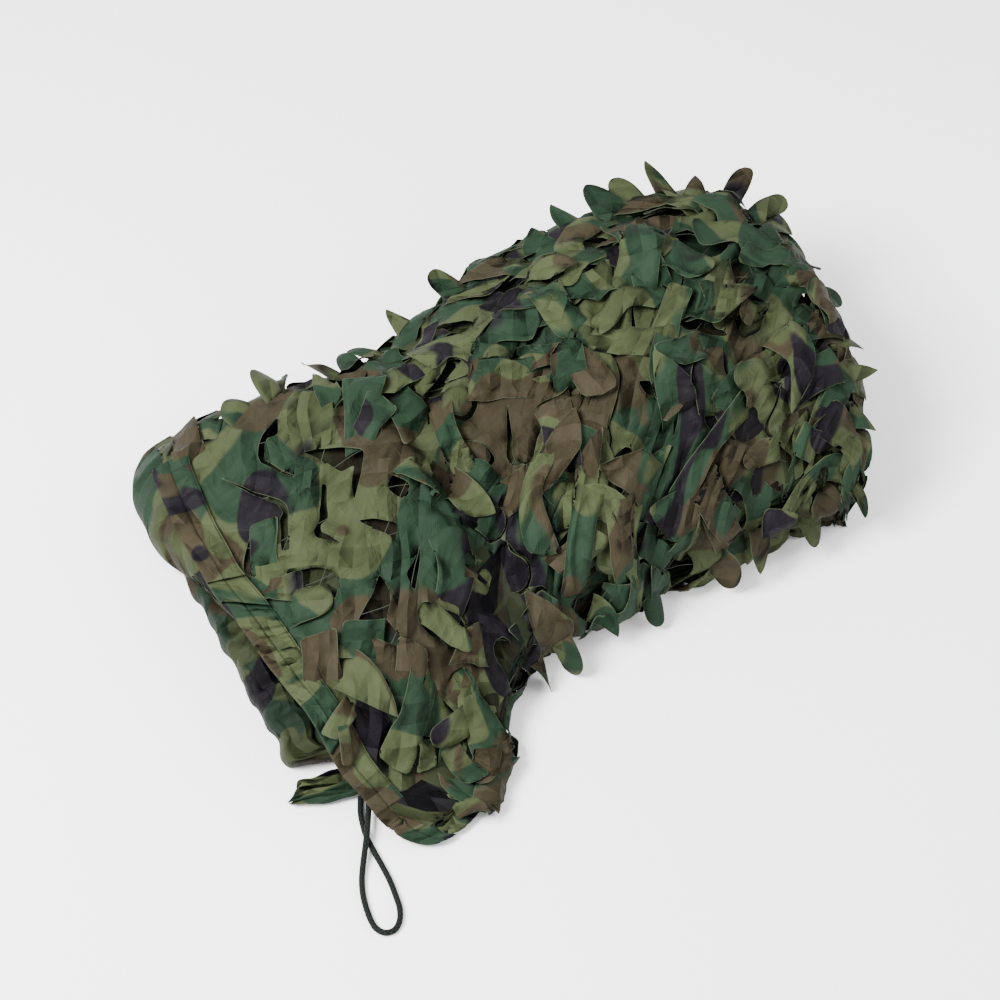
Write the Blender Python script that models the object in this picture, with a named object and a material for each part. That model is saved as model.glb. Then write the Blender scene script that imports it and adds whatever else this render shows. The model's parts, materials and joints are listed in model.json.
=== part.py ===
"""Camouflage net, folded into a long bundle and lying flat.

Metres, +Z up. The origin is under the middle of the folded net, on the surface it lies on.
+X runs along the bundle, from its hemmed end to its bulky end. -Y is the side where the
top ply slumps down and the rope loop comes out.

The folded net is one back-and-forth section of four layers, worked out in plain stack
coordinates and then bent to the lying shape:
    x  metres along the bundle
    v  -1 at the near side, +1 at the far side
    w  0 on the surface, 1 on top of the stack
"""
import math

import bmesh
import bpy
import numpy as np

# ---------------------------------------------------------------- sizes, in metres
TAPE_WIDTH = 0.025          # border tape, as sewn
TAPE_THICKNESS = 0.0012     # two plies of tape with their stitching
ROPE_DIAMETER = 0.005
SEAT_GAP = 0.0005           # air between two pieces that touch

# Middle of the net's box in the tables' own plan; the origin goes there.
PLAN_MIDDLE_X = -0.0136
PLAN_MIDDLE_Y = 0.0019

# ---------------------------------------------------------------- how the stack is folded
LAYERS = 4
LAYER_GAP = 0.045           # air between two layers, as a share of the stack's height
RIGHT_FOLD_REACH = 0.036    # how far a fold bulges past the bulky end of its layers
LEFT_FOLD_REACH = 0.018     # the same for the middle fold at the hemmed end
INNER_FOLD_REACH = 0.003
LAYER_STEPS = 9             # sections along a layer
FOLD_STEPS = 6              # sections around a fold
END_BULGE = 0.004           # how far a free end of the cloth rounds outwards

# Half-thickness left at the sides of each layer, so its edges are rounded.
EDGE = [
    # v_abs, thickness share
    (0.00, 1.00),
    (0.88, 1.00),
    (0.95, 0.93),
    (0.985, 0.75),
    (1.00, 0.42),
]
SIDE_STATIONS = (0.0, 0.2, 0.38, 0.46, 0.54, 0.66, 0.78, 0.88, 0.95, 0.985, 1.0)

# ---------------------------------------------------------------- the lying shape
# Sections across the bundle. near and far are the sides' places in Y, height is the crest,
# near_drop and far_drop are how much lower the sides are than the crest, as a share, tuck is
# how much narrower the top is, and slump is 1 where the near side hangs to the surface.
BODY = [
    # x,     near,   far,   height, near_drop, far_drop, tuck, slump
    (-0.335, -0.230, 0.232, 0.066, 0.80, 0.30, 0.02, 1.0),
    (-0.270, -0.236, 0.236, 0.082, 0.82, 0.30, 0.03, 1.0),
    (-0.215, -0.224, 0.234, 0.100, 0.76, 0.28, 0.06, 0.9),
    (-0.150, -0.166, 0.222, 0.113, 0.50, 0.26, 0.12, 0.4),
    (-0.090, -0.140, 0.214, 0.120, 0.34, 0.24, 0.16, 0.0),
    (-0.010, -0.140, 0.220, 0.140, 0.28, 0.24, 0.19, 0.0),
    (0.080, -0.158, 0.230, 0.160, 0.28, 0.24, 0.20, 0.0),
    (0.170, -0.178, 0.236, 0.168, 0.28, 0.24, 0.20, 0.0),
    (0.250, -0.184, 0.236, 0.164, 0.30, 0.26, 0.20, 0.0),
    (0.335, -0.184, 0.226, 0.140, 0.34, 0.30, 0.20, 0.0),
]
BELLY_LEVEL = 0.40          # w where the bundle is widest
FOOT_TUCK = 0.08            # how much narrower it is on the surface
SIDE_POWER = 3.0            # how suddenly the sides round over
SLUMP_START = 0.38          # v where the slumped side starts to fall
SLUMP_END = 0.84            # v where it lies on the surface

# Where each layer ends, by its place across the bundle.
BULKY_END = [
    # v,    x
    (-1.00, 0.165),
    (-0.85, 0.205),
    (-0.50, 0.248),
    (0.00, 0.276),
    (0.50, 0.292),
    (0.85, 0.262),
    (1.00, 0.220),
]
TOP_HEM = [
    # v,    x
    (-1.00, -0.266),
    (-0.94, -0.288),
    (-0.80, -0.304),
    (-0.60, -0.309),
    (-0.40, -0.306),
    (0.00, -0.299),
    (0.40, -0.294),
    (0.75, -0.284),
    (1.00, -0.262),
]
MIDDLE_FOLD = [
    # v,    x
    (-1.00, -0.222),
    (-0.50, -0.262),
    (0.00, -0.282),
    (0.50, -0.292),
    (0.90, -0.289),
    (1.00, -0.278),
]
LOW_HEM = [
    # v,    x
    (-1.00, -0.225),
    (-0.66, -0.272),
    (-0.54, -0.303),
    (-0.46, -0.332),
    (-0.38, -0.332),
    (0.00, -0.326),
    (0.50, -0.312),
    (1.00, -0.270),
]

# Main creases of the lying bundle, as straight troughs seen from above.
CREASES = [
    # start_x, start_y, end_x, end_y, half_width, depth
    (-0.094, 0.060, -0.112, -0.060, 0.017, 0.012),
    (-0.112, -0.060, -0.128, -0.160, 0.022, 0.024),
    (-0.040, 0.165, 0.010, 0.225, 0.026, 0.014),
    (-0.215, 0.060, -0.150, -0.060, 0.016, 0.006),
    (0.150, 0.060, 0.200, -0.090, 0.020, 0.006),
]
CREASE_LEVEL = 0.35         # w below which a crease isn't felt

# How far across the bundle each border tape runs, from its near end to its far end in v.
TOP_TAPE_SPAN = (-0.99, 0.99)
LOW_TAPE_SPAN = (-0.67, 0.99)

# ---------------------------------------------------------------- the pleated net corner
# Cross sections of the corner from where it is tucked in to its points. Each lies across
# the piece, from its upper-left edge to its lower-right edge as seen from above.
CORNER = [
    # left_x,  left_y,  right_x, right_y, height
    (-0.308, -0.1203, -0.299, -0.150, 0.0070),
    (-0.316, -0.1168, -0.309, -0.150, 0.0066),
    (-0.329, -0.1150, -0.321, -0.146, 0.0058),
    (-0.341, -0.1090, -0.335, -0.141, 0.0046),
    (-0.349, -0.1170, -0.346, -0.132, 0.0036),
    (-0.355, -0.1220, -0.354, -0.126, 0.0030),
]
CORNER_PLEATS = (0.62, 1.0, 0.70, 1.0, 0.62, 0.9, 0.55)   # heights across it, as shares
CORNER_STEPS = 10           # sections along it

# ---------------------------------------------------------------- the rope loop's route
ROPE_ROUTE = [
    # x,     y,      z
    (-0.2990, -0.1520, 0.0088),
    (-0.3085, -0.1660, 0.0086),
    (-0.3150, -0.1750, 0.0087),
    (-0.3215, -0.1835, 0.0086),
    (-0.3285, -0.1920, 0.0082),
    (-0.3360, -0.2005, 0.0064),
    (-0.3435, -0.2090, 0.0040),
    (-0.3505, -0.2180, 0.0028),
    (-0.3570, -0.2290, 0.0026),
    (-0.3620, -0.2410, 0.0026),
    (-0.3655, -0.2530, 0.0026),
    (-0.3662, -0.2620, 0.0026),
    (-0.3625, -0.2690, 0.0026),
    (-0.3550, -0.2712, 0.0026),
    (-0.3470, -0.2665, 0.0026),
    (-0.3405, -0.2570, 0.0026),
    (-0.3365, -0.2450, 0.0026),
    (-0.3330, -0.2330, 0.0026),
    (-0.3305, -0.2200, 0.0026),
    (-0.3285, -0.2070, 0.0026),
    (-0.3265, -0.1950, 0.0026),
    (-0.3240, -0.1840, 0.0026),
    (-0.3200, -0.1735, 0.0026),
    (-0.3155, -0.1640, 0.0026),
    (-0.3073, -0.1519, 0.0026),
]
ROPE_POINTS = 24            # points read from the smooth curve through the route
ROPE_ROUNDNESS = 2          # bevel resolution of the cord
CURVE_READINGS = 12         # readings between two points of a route


# ---------------------------------------------------------------- helpers
def clear_scene():
    """Remove every object of the scene."""
    for thing in list(bpy.data.objects):
        bpy.data.objects.remove(thing, do_unlink=True)


def paint(name, colour, roughness):
    """A plain cloth-like material with one colour."""
    material = bpy.data.materials.new(name)
    material.use_nodes = True
    shader = material.node_tree.nodes["Principled BSDF"]
    shader.inputs["Base Color"].default_value = (*colour, 1.0)
    shader.inputs["Roughness"].default_value = roughness
    shader.inputs["Metallic"].default_value = 0.0
    return material


def read_table(table, place, column):
    """Read one column of a table at a place, on a smooth curve that never overshoots its rows."""
    rows = np.array(table, dtype=float)
    xs, ys = rows[:, 0], rows[:, column]
    slope = np.diff(ys) / np.diff(xs)
    product = slope[:-1] * slope[1:]
    total = slope[:-1] + slope[1:]
    safe_total = np.where(product > 0.0, total, 1.0)
    tangent = np.empty_like(ys)
    tangent[0], tangent[-1] = slope[0], slope[-1]
    tangent[1:-1] = np.where(product > 0.0, 2.0 * product / safe_total, 0.0)
    at = np.clip(np.asarray(place, dtype=float), xs[0], xs[-1])
    row = np.clip(np.searchsorted(xs, at) - 1, 0, len(xs) - 2)
    width = xs[row + 1] - xs[row]
    t = (at - xs[row]) / width
    start = (2.0 * t**3 - 3.0 * t**2 + 1.0) * ys[row]
    start_pull = (t**3 - 2.0 * t**2 + t) * width * tangent[row]
    end = (3.0 * t**2 - 2.0 * t**3) * ys[row + 1]
    end_pull = (t**3 - t**2) * width * tangent[row + 1]
    return start + start_pull + end + end_pull


def ease(t):
    """Rise smoothly from 0 to 1 as t goes from 0 to 1."""
    t = np.clip(t, 0.0, 1.0)
    return t * t * (3.0 - 2.0 * t)


def crease_depth(x, y):
    """How deep the main creases press into the top of the bundle at a place seen from above."""
    depth = np.zeros(np.broadcast(x, y).shape)
    for start_x, start_y, end_x, end_y, half_width, deepest in CREASES:
        along_x, along_y = end_x - start_x, end_y - start_y
        length_squared = along_x**2 + along_y**2
        t = ((x - start_x) * along_x + (y - start_y) * along_y) / length_squared
        t = np.clip(t, 0.0, 1.0)
        distance = np.hypot(x - start_x - t * along_x, y - start_y - t * along_y)
        depth = np.maximum(depth, deepest * np.exp(-((distance / half_width) ** 2)))
    return depth


def lay(x, v, w):
    """Bend stack coordinates to the lying bundle: an array of points, one for each x, v, w."""
    x, v, w = np.broadcast_arrays(x, v, w)
    near, far, height, near_drop, far_drop, tuck, slump = (
        read_table(BODY, x, column) for column in range(1, 8)
    )
    above = np.clip((w - BELLY_LEVEL) / (1.0 - BELLY_LEVEL), 0.0, 1.0)
    below = np.clip((BELLY_LEVEL - w) / BELLY_LEVEL, 0.0, 1.0)
    width = 1.0 - tuck * above**2 - FOOT_TUCK * below**2
    y = (near + far) / 2.0 + (far - near) / 2.0 * v * width
    rounded = np.abs(v) ** SIDE_POWER
    slumped = ease((-v - SLUMP_START) / (SLUMP_END - SLUMP_START))
    near_fall = near_drop * ((1.0 - slump) * rounded + slump * slumped)
    fall = np.where(v < 0.0, near_fall, far_drop * rounded)
    felt = ease((w - CREASE_LEVEL) / (1.0 - CREASE_LEVEL))
    z = height * w * (1.0 - fall) - crease_depth(x, y) * felt * (1.0 - fall)
    return np.stack((x, y, z), axis=-1)


def side_stations():
    """Places across the bundle, from the near side to the far side."""
    far_half = list(SIDE_STATIONS)
    return np.array([-v for v in reversed(far_half[1:])] + far_half)


def mesh_object(name, verts, faces, material):
    """Make one object of a closed mesh and turn its faces outwards."""
    mesh = bpy.data.meshes.new(name)
    mesh.from_pydata([tuple(p) for p in verts], [], faces)
    mesh.update()
    work = bmesh.new()
    work.from_mesh(mesh)
    bmesh.ops.recalc_face_normals(work, faces=work.faces)
    work.to_mesh(mesh)
    work.free()
    mesh.shade_smooth()
    mesh.materials.append(material)
    thing = bpy.data.objects.new(name, mesh)
    bpy.context.scene.collection.objects.link(thing)
    return thing


def ring_faces(rings, across, turned_from):
    """Triangles between closed rings of points, each ring lying across the cloth.

    Quads are cut along one diagonal, and from ring turned_from on along the other, so that
    a tape and the cloth under it are cut alike and never cross.
    """
    faces = []
    for i in range(rings):
        after = (i + 1) % rings
        for j in range(across - 1):
            a, b = i * across + j, after * across + j
            if i < turned_from:
                faces += [(a, b, b + 1), (a, b + 1, a + 1)]
            else:
                faces += [(a, b, a + 1), (b, b + 1, a + 1)]
    return faces


# ---------------------------------------------------------------- the folded net
def layer_rows(layer, from_x, to_x, upwards, offsets):
    """Rows of one straight layer: its place and its two faces' levels, in path order.

    offsets are extra rows near a hem, as distances from the layer's hemmed end.
    """
    low = layer / LAYERS + LAYER_GAP / 2.0 if layer > 0 else 0.0
    high = (layer + 1) / LAYERS - LAYER_GAP / 2.0
    first, second = (high, low) if upwards else (low, high)
    places = [from_x + (to_x - from_x) * share for share in np.linspace(0.0, 1.0, LAYER_STEPS + 1)]
    if offsets and not upwards:
        places = [from_x + d for d in offsets] + places[2:]
    if offsets and upwards:
        places = places[:-2] + [to_x + d for d in reversed(offsets)]
    return [((x, first), (x, second)) for x in places]


def fold_rows(lower_layer, end_x, side, reach, outer_first):
    """Rows around one fold, which joins a layer to the one above it."""
    middle = (lower_layer + 1) / LAYERS
    outer = 1.0 / LAYERS - LAYER_GAP / 2.0
    inner = LAYER_GAP / 2.0
    rows = []
    for angle in np.linspace(-math.pi / 2.0, math.pi / 2.0, FOLD_STEPS + 1)[1:-1]:
        foot = 1.0 / LAYERS if lower_layer == 0 and angle < 0.0 else outer
        outside = (end_x + side * reach * math.cos(angle), middle + foot * math.sin(angle))
        inside = (end_x + side * INNER_FOLD_REACH * math.cos(angle), middle + inner * math.sin(angle))
        rows.append((outside, inside) if outer_first else (inside, outside))
    return rows


def net_rows():
    """The whole back-and-forth path, from the lowest hem to the top hem."""
    v = side_stations()
    bulky = read_table(BULKY_END, v, 1)
    hem_steps = (0.0, TAPE_WIDTH / 2.0, TAPE_WIDTH)
    rows = layer_rows(0, read_table(LOW_HEM, v, 1), bulky, False, hem_steps)
    rows += fold_rows(0, bulky, 1.0, RIGHT_FOLD_REACH, True)
    fold_x = read_table(MIDDLE_FOLD, v, 1)
    rows += layer_rows(1, bulky, fold_x, True, ())
    rows += fold_rows(1, fold_x, -1.0, LEFT_FOLD_REACH, False)
    rows += layer_rows(2, fold_x, bulky, False, ())
    rows += fold_rows(2, bulky, 1.0, RIGHT_FOLD_REACH, True)
    rows += layer_rows(3, bulky, read_table(TOP_HEM, v, 1), True, hem_steps)
    return rows


def net_faces_points():
    """Two grids of points, the first and the second face of the folded cloth."""
    v = side_stations()
    share = read_table(EDGE, np.abs(v), 1)
    first_grid, second_grid = [], []
    for (first_x, first_w), (second_x, second_w) in net_rows():
        middle = (first_w + second_w) / 2.0
        if 0.0 in (first_w, second_w):
            middle = 0.0
        first_grid.append(lay(first_x, v, middle + (first_w - middle) * share))
        second_grid.append(lay(second_x, v, middle + (second_w - middle) * share))
    return np.array(first_grid), np.array(second_grid)


def free_end_row(first, second, outwards):
    """A row halfway down a free end, pushed outwards so that the end is rounded."""
    row = (first + second) / 2.0
    row[:, 0] += outwards * END_BULGE
    return row


def build_net(material):
    """Make the folded net as one closed solid, and return the grids that its tapes are laid on."""
    first, second = net_faces_points()
    low_end = free_end_row(first[0], second[0], -1.0)
    top_end = free_end_row(first[-1], second[-1], -1.0)
    rows, across = first.shape[0], first.shape[1]
    loop = np.concatenate((first, top_end[None], second[::-1], low_end[None]))
    verts = loop.reshape(-1, 3)
    count = loop.shape[0]
    faces = ring_faces(count, across, count)
    for j in (0, across - 1):
        for i in range(rows - 1):
            far_side = 2 * rows - i
            faces.append((i * across + j, (i + 1) * across + j,
                          (far_side - 1) * across + j, far_side * across + j))
        faces.append(((rows - 1) * across + j, rows * across + j, (rows + 1) * across + j))
        faces.append((j, 2 * rows * across + j, (count - 1) * across + j))
    mesh_object("net_folded", verts, faces, material)
    return first, second, low_end, top_end


# ---------------------------------------------------------------- border tapes
def tape_object(name, rows, span, material):
    """A tape laid on rows of points, over a span of v: at SEAT_GAP, TAPE_THICKNESS thick."""
    v = side_stations()
    rows = np.array(rows)[:, (v >= span[0]) & (v <= span[1])]
    along = np.gradient(rows, axis=0)
    across = np.gradient(rows, axis=1)
    normal = np.cross(across, along)
    normal /= np.linalg.norm(normal, axis=-1, keepdims=True)
    inner = rows + normal * SEAT_GAP
    outer = rows + normal * (SEAT_GAP + TAPE_THICKNESS)
    outer[..., 2] = np.maximum(outer[..., 2], SEAT_GAP)
    inner[..., 2] = np.maximum(inner[..., 2], SEAT_GAP)
    loop = np.concatenate((outer, inner[::-1]))
    verts = loop.reshape(-1, 3)
    count, width = loop.shape[0], loop.shape[1]
    half = rows.shape[0]
    faces = ring_faces(count, width, half)
    for j in (0, width - 1):
        for i in range(half - 1):
            other = 2 * half - 1 - i
            faces.append((i * width + j, (i + 1) * width + j, (other - 1) * width + j, other * width + j))
    return mesh_object(name, verts, faces, material)


def build_tapes(first, second, low_end, top_end, material):
    """Border tape over the two free ends of the folded net, from its face round its edge."""
    top_rows = [first[-3], first[-2], first[-1], top_end]
    low_rows = [second[2], second[1], second[0], low_end]
    tape_object("border_tape_top", top_rows, TOP_TAPE_SPAN, material)
    tape_object("border_tape_low", low_rows, LOW_TAPE_SPAN, material)


# ---------------------------------------------------------------- the net corner
def build_corner(material):
    """The pleated corner of the border, lying on the surface with its point outwards."""
    table = np.array(CORNER)
    ends = [(share, *row) for share, row in zip(np.linspace(0.0, 1.0, len(table)), table)]
    places = np.linspace(0.0, 1.0, CORNER_STEPS + 1)
    left_x, left_y, right_x, right_y, height = (read_table(ends, places, c) for c in range(1, 6))
    pleats = np.array(CORNER_PLEATS)
    share = np.linspace(0.0, 1.0, len(pleats))[None, :]
    x = left_x[:, None] * (1.0 - share) + right_x[:, None] * share
    y = left_y[:, None] * (1.0 - share) + right_y[:, None] * share
    top = np.stack((x, y, height[:, None] * pleats[None, :]), axis=-1)
    bottom = top.copy()
    bottom[..., 2] = 0.0
    loop = np.concatenate((top, bottom[:, ::-1]), axis=1)
    verts = loop.reshape(-1, 3)
    rows, around = loop.shape[0], loop.shape[1]
    faces = []
    for i in range(rows - 1):
        for j in range(around):
            after = (j + 1) % around
            faces.append((i * around + j, i * around + after,
                          (i + 1) * around + after, (i + 1) * around + j))
    half = len(pleats)
    for i in (0, rows - 1):
        for j in range(half - 1):
            other = around - 1 - j
            faces.append((i * around + j, i * around + j + 1, i * around + other - 1, i * around + other))
    return mesh_object("net_corner", verts, faces, material)


# ---------------------------------------------------------------- the rope loop
def smooth_route(route, count):
    """Points at even distances on a smooth curve through every point of a route."""
    points = np.array(route)
    padded = np.concatenate((2 * points[:1] - points[1:2], points, 2 * points[-1:] - points[-2:-1]))
    t = np.linspace(0.0, 1.0, CURVE_READINGS, endpoint=False)[:, None]
    fine = []
    for a, b, c, d in zip(padded, padded[1:], padded[2:], padded[3:]):
        fine.append(0.5 * (2 * b + (c - a) * t + (2 * a - 5 * b + 4 * c - d) * t**2
                           + (3 * b - a - 3 * c + d) * t**3))
    fine = np.concatenate(fine + [points[-1:]])
    steps = np.linalg.norm(np.diff(fine, axis=0), axis=1)
    run = np.concatenate(([0.0], np.cumsum(steps)))
    even = np.linspace(0.0, run[-1], count)
    return np.stack([np.interp(even, run, fine[:, axis]) for axis in range(3)], axis=-1)


def build_rope(material):
    """The loop of cord, as a round tube along its route."""
    route = smooth_route(ROPE_ROUTE, ROPE_POINTS)
    curve = bpy.data.curves.new("rope_loop", "CURVE")
    curve.dimensions = "3D"
    curve.bevel_depth = ROPE_DIAMETER / 2.0
    curve.bevel_resolution = ROPE_ROUNDNESS
    curve.use_fill_caps = True
    spline = curve.splines.new("POLY")
    spline.points.add(len(route) - 1)
    for point, place in zip(spline.points, route):
        point.co = (*place, 1.0)
    curve.materials.append(material)
    rope = bpy.data.objects.new("rope_loop", curve)
    bpy.context.scene.collection.objects.link(rope)
    return rope


def main():
    """Build every piece of the folded net."""
    clear_scene()
    cloth = paint("camouflage_cloth", (0.074, 0.094, 0.050), 0.75)
    tape = paint("border_tape", (0.100, 0.075, 0.050), 0.80)
    rope = paint("rope", (0.015, 0.022, 0.015), 0.70)
    first, second, low_end, top_end = build_net(cloth)
    build_tapes(first, second, low_end, top_end, tape)
    build_corner(cloth)
    build_rope(rope)
    bundle = bpy.data.objects.new("bundle", None)
    bundle.location = (-PLAN_MIDDLE_X, -PLAN_MIDDLE_Y, 0.0)
    bpy.context.scene.collection.objects.link(bundle)
    for piece in bpy.context.scene.objects:
        if piece is not bundle:
            piece.parent = bundle


main()
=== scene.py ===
# %% [markdown]
# # A camouflage net, folded into a bundle
#
# The real thing is a sheet of printed polyester, about three metres square. Hooked cuts
# are stamped into it, and it is sewn to a thin thread mesh and bound with tape. When it is
# opened out, each cut lets a tongue of cloth curl away, and the sheet turns into leaves.
# Here it is folded again: widthwise into plies, then back and forth into a long bundle.
#
# We build it the way it is made. First comes the frame from CAD, then the folded plies,
# then the cut cloth that lies over them, then the loose leaves, and last the sewn edges.


import json
import math

import bpy
import numpy as np
from mathutils import Matrix, Vector
from mathutils.geometry import delaunay_2d_cdt

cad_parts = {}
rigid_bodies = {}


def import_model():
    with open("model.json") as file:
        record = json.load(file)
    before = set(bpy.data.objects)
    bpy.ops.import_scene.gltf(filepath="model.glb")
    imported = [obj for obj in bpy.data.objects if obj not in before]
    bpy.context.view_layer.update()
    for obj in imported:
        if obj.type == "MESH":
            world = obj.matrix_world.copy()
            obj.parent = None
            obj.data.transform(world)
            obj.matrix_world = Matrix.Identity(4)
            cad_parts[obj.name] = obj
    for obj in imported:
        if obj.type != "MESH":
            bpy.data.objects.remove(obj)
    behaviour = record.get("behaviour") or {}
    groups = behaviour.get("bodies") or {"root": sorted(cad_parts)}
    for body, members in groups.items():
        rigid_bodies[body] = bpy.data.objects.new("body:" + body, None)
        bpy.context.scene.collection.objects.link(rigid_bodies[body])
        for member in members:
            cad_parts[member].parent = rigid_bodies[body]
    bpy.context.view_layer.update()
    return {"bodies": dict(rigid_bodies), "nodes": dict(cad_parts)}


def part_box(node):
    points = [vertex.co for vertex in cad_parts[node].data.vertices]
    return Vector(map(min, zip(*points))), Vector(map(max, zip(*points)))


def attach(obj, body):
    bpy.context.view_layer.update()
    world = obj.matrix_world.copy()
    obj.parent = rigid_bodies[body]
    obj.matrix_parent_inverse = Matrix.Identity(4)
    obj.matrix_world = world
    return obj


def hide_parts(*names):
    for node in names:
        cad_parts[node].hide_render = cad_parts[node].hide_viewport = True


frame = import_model()
root = list(frame["bodies"])[0]
print("nodes:", sorted(frame["nodes"]), "body:", root)


# %% [markdown]
# ## The camera
#
# The photograph looks down at the bundle from about 50 degrees, from its hemmed corner,
# with a long lens. A camera is three directions and a distance. `back` points from the
# net to the lens, `right` runs along the picture's lower edge, and `up` is square to both.


# %% Place the camera
VIEW_TURN = math.radians(-36.0)
VIEW_RISE = math.radians(50.0)
VIEW_DISTANCE = 2.2
SENSOR_WIDTH = 36.0
PICTURE_WIDTH = 0.875
PLAN_MIDDLE = np.array([-0.0136, 0.0019, 0.0])
LOOK_AT = np.array([-0.055, 0.0, 0.06]) - PLAN_MIDDLE

back = np.array([math.sin(VIEW_TURN) * math.cos(VIEW_RISE),
                 -math.cos(VIEW_TURN) * math.cos(VIEW_RISE), math.sin(VIEW_RISE)])
right = np.array([math.cos(VIEW_TURN), math.sin(VIEW_TURN), 0.0])
up = np.cross(back, right)

lens = bpy.data.cameras.new("camera")
lens.sensor_width = SENSOR_WIDTH
lens.lens = SENSOR_WIDTH * VIEW_DISTANCE / PICTURE_WIDTH
camera = bpy.data.objects.new("camera", lens)
bpy.context.scene.collection.objects.link(camera)
camera_columns = np.column_stack((right, up, back, LOOK_AT + back * VIEW_DISTANCE))
camera.matrix_world = Matrix([*camera_columns.tolist(), (0.0, 0.0, 0.0, 1.0)])
bpy.context.scene.camera = camera
print("lens", round(lens.lens, 1), "mm")


# %% [markdown]
# ## Small helpers
#
# Some sums come up in most pieces. Paths are read by the length along them, because cloth
# and cord don't stretch. Curves are joined from cubic pieces, and many things fade with a
# bell curve or rise smoothly from nothing to full. Each has one helper.


# %% Helpers: lengths, bells and cubic pieces
def stacked(*parts):
    """Arrays stretched to one shape and put side by side along a new last axis."""
    return np.stack(np.broadcast_arrays(*parts), axis=-1)


def run_of(points):
    """The length along each row of points, from 0 at its first point."""
    steps = np.linalg.norm(np.diff(points, axis=-2), axis=-1)
    return np.concatenate((np.zeros((*steps.shape[:-1], 1)), np.cumsum(steps, axis=-1)), axis=-1)


def read_path(places, run, points):
    """The points at some places along a path, joined by straight lines."""
    return stacked(*(np.interp(places, run, column) for column in points.T))


def ease(value, start=0.0, width=1.0):
    """Rise smoothly from 0 at start to 1 a width further on: three t squared less two t cubed."""
    t = np.clip((value - start) / width, 0.0, 1.0)
    return t * t * (3.0 - 2.0 * t)


def bell(distance, width):
    """A bell curve: e to the power of minus the square of distance over width."""
    return np.exp(-((distance / width) ** 2))


def cubic(t, start, end, leave, arrive):
    """A cubic piece between two values, with the slopes at which it leaves and arrives."""
    return ((2 * t**3 - 3 * t**2 + 1) * start + (3 * t**2 - 2 * t**3) * end
            + (t**3 - 2 * t**2 + t) * leave + (t**3 - t**2) * arrive)


def smooth_pieces(corners, pull, readings):
    """Cubic pieces from the second corner to the last but one.

    The slope at a corner is `pull` times the step from the corner before it to the one after.
    """
    before, start, end, beyond = (corners[k:len(corners) - 3 + k, None, :] for k in range(4))
    t = np.linspace(0.0, 1.0, readings, endpoint=False)[None, :, None]
    pieces = cubic(t, start, end, pull * (end - before), pull * (beyond - start))
    return pieces.reshape(-1, corners.shape[1])


print("ease at a quarter, a half and one:", ease(np.array([0.25, 0.5, 1.0])))


# %% [markdown]
# Measured shapes are kept as short tables and read smoothly between their rows, which is
# easier to correct than a formula. Creases are straight lines, so we need the distance to
# one. And where cloth is uneven, a handful of sine waves is added up. A noise texture could
# do it too, but waves are quick to work out for whole arrays.


# %% Helpers: tables, distances and uneven cloth
BLOCK = 2000


def read_table(table, place, column=1):
    """A column read at a place, on cubic pieces whose slope is the harmonic mean of its neighbours'."""
    xs, ys = table[:, 0], table[:, column]
    slope = np.diff(ys) / np.diff(xs)
    product, total = slope[:-1] * slope[1:], slope[:-1] + slope[1:]
    tangent = np.concatenate((slope[:1], np.zeros(len(xs) - 2), slope[-1:]))
    tangent[1:-1] = np.where(product > 0.0, 2.0 * product / np.where(product > 0.0, total, 1.0), 0.0)
    at = np.clip(place, xs[0], xs[-1])
    row = np.clip(np.searchsorted(xs, at) - 1, 0, len(xs) - 2)
    width = xs[row + 1] - xs[row]
    leave, arrive = tangent[row] * width, tangent[row + 1] * width
    return cubic((at - xs[row]) / width, ys[row], ys[row + 1], leave, arrive)


def near_line(x, y, start_x, start_y, end_x, end_y):
    """The nearest place on a straight line, from 0 to 1 along it, and the distance to it."""
    along_x, along_y = end_x - start_x, end_y - start_y
    t = np.clip(((x - start_x) * along_x + (y - start_y) * along_y) / (along_x**2 + along_y**2), 0.0, 1.0)
    return t, np.hypot(x - start_x - t * along_x, y - start_y - t * along_y)


def nearest_distance(places, targets):
    """Distance from each place to the nearest target, a block of places at a time."""
    return np.concatenate([
        np.min(np.hypot(places[k:k + BLOCK, None, 0] - targets[None, :, 0],
                        places[k:k + BLOCK, None, 1] - targets[None, :, 1]), axis=1)
        for k in range(0, len(places), BLOCK)])


def waves(a, b, size, seed, count=7):
    """Sum of sine waves. Each has a random heading, a length near `size` and a random start.

    The sum looks random, yet its fixed seed makes it the same in every run.
    """
    rng = np.random.default_rng(seed)
    total = np.zeros(np.broadcast(a, b).shape)
    for _ in range(count):
        heading, start = rng.uniform(0.0, 2.0 * math.pi, 2)
        length = size * rng.uniform(0.6, 1.7)
        total += np.sin(2.0 * math.pi * (a * math.cos(heading) + b * math.sin(heading)) / length + start)
    return total / math.sqrt(count)


print("waves at the start:", round(float(waves(0.0, 0.0, 0.1, 1)), 3))


# %% [markdown]
# ## Meshes from arrays
#
# Cloth could be modelled by hand or simulated, but then it wouldn't land where the
# photograph shows it. So every piece below is made of points worked out with numpy, and one
# helper turns such arrays into a mesh: points, faces, a UV place for each point, and two
# values for each point. `cut_edge` is the distance to the nearest cut edge, which the
# cloth's finish uses to lighten its rim. `shade` is painted shade: it dims the cloth's colour
# where it lies deep or where shade would fall.


# %% Helper: arrays to a mesh object
FAR_FROM_EDGE = 0.02


def grid_quads(shape, closed=False):
    """Faces of one or more grids: each joins a point, the next in its row, and two in the next row."""
    rows, columns = shape[-2:]
    i, j = np.arange(rows - 1)[:, None], np.arange(columns if closed else columns - 1)[None, :]
    here, beside = i * columns + j, i * columns + (j + 1) % columns
    quads = np.stack((here, here + columns, beside + columns, beside), axis=-1).reshape(-1, 4)
    first = np.arange(math.prod(shape[:-2])) * rows * columns
    return (quads[None] + first[:, None, None]).reshape(-1, 4)


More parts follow.
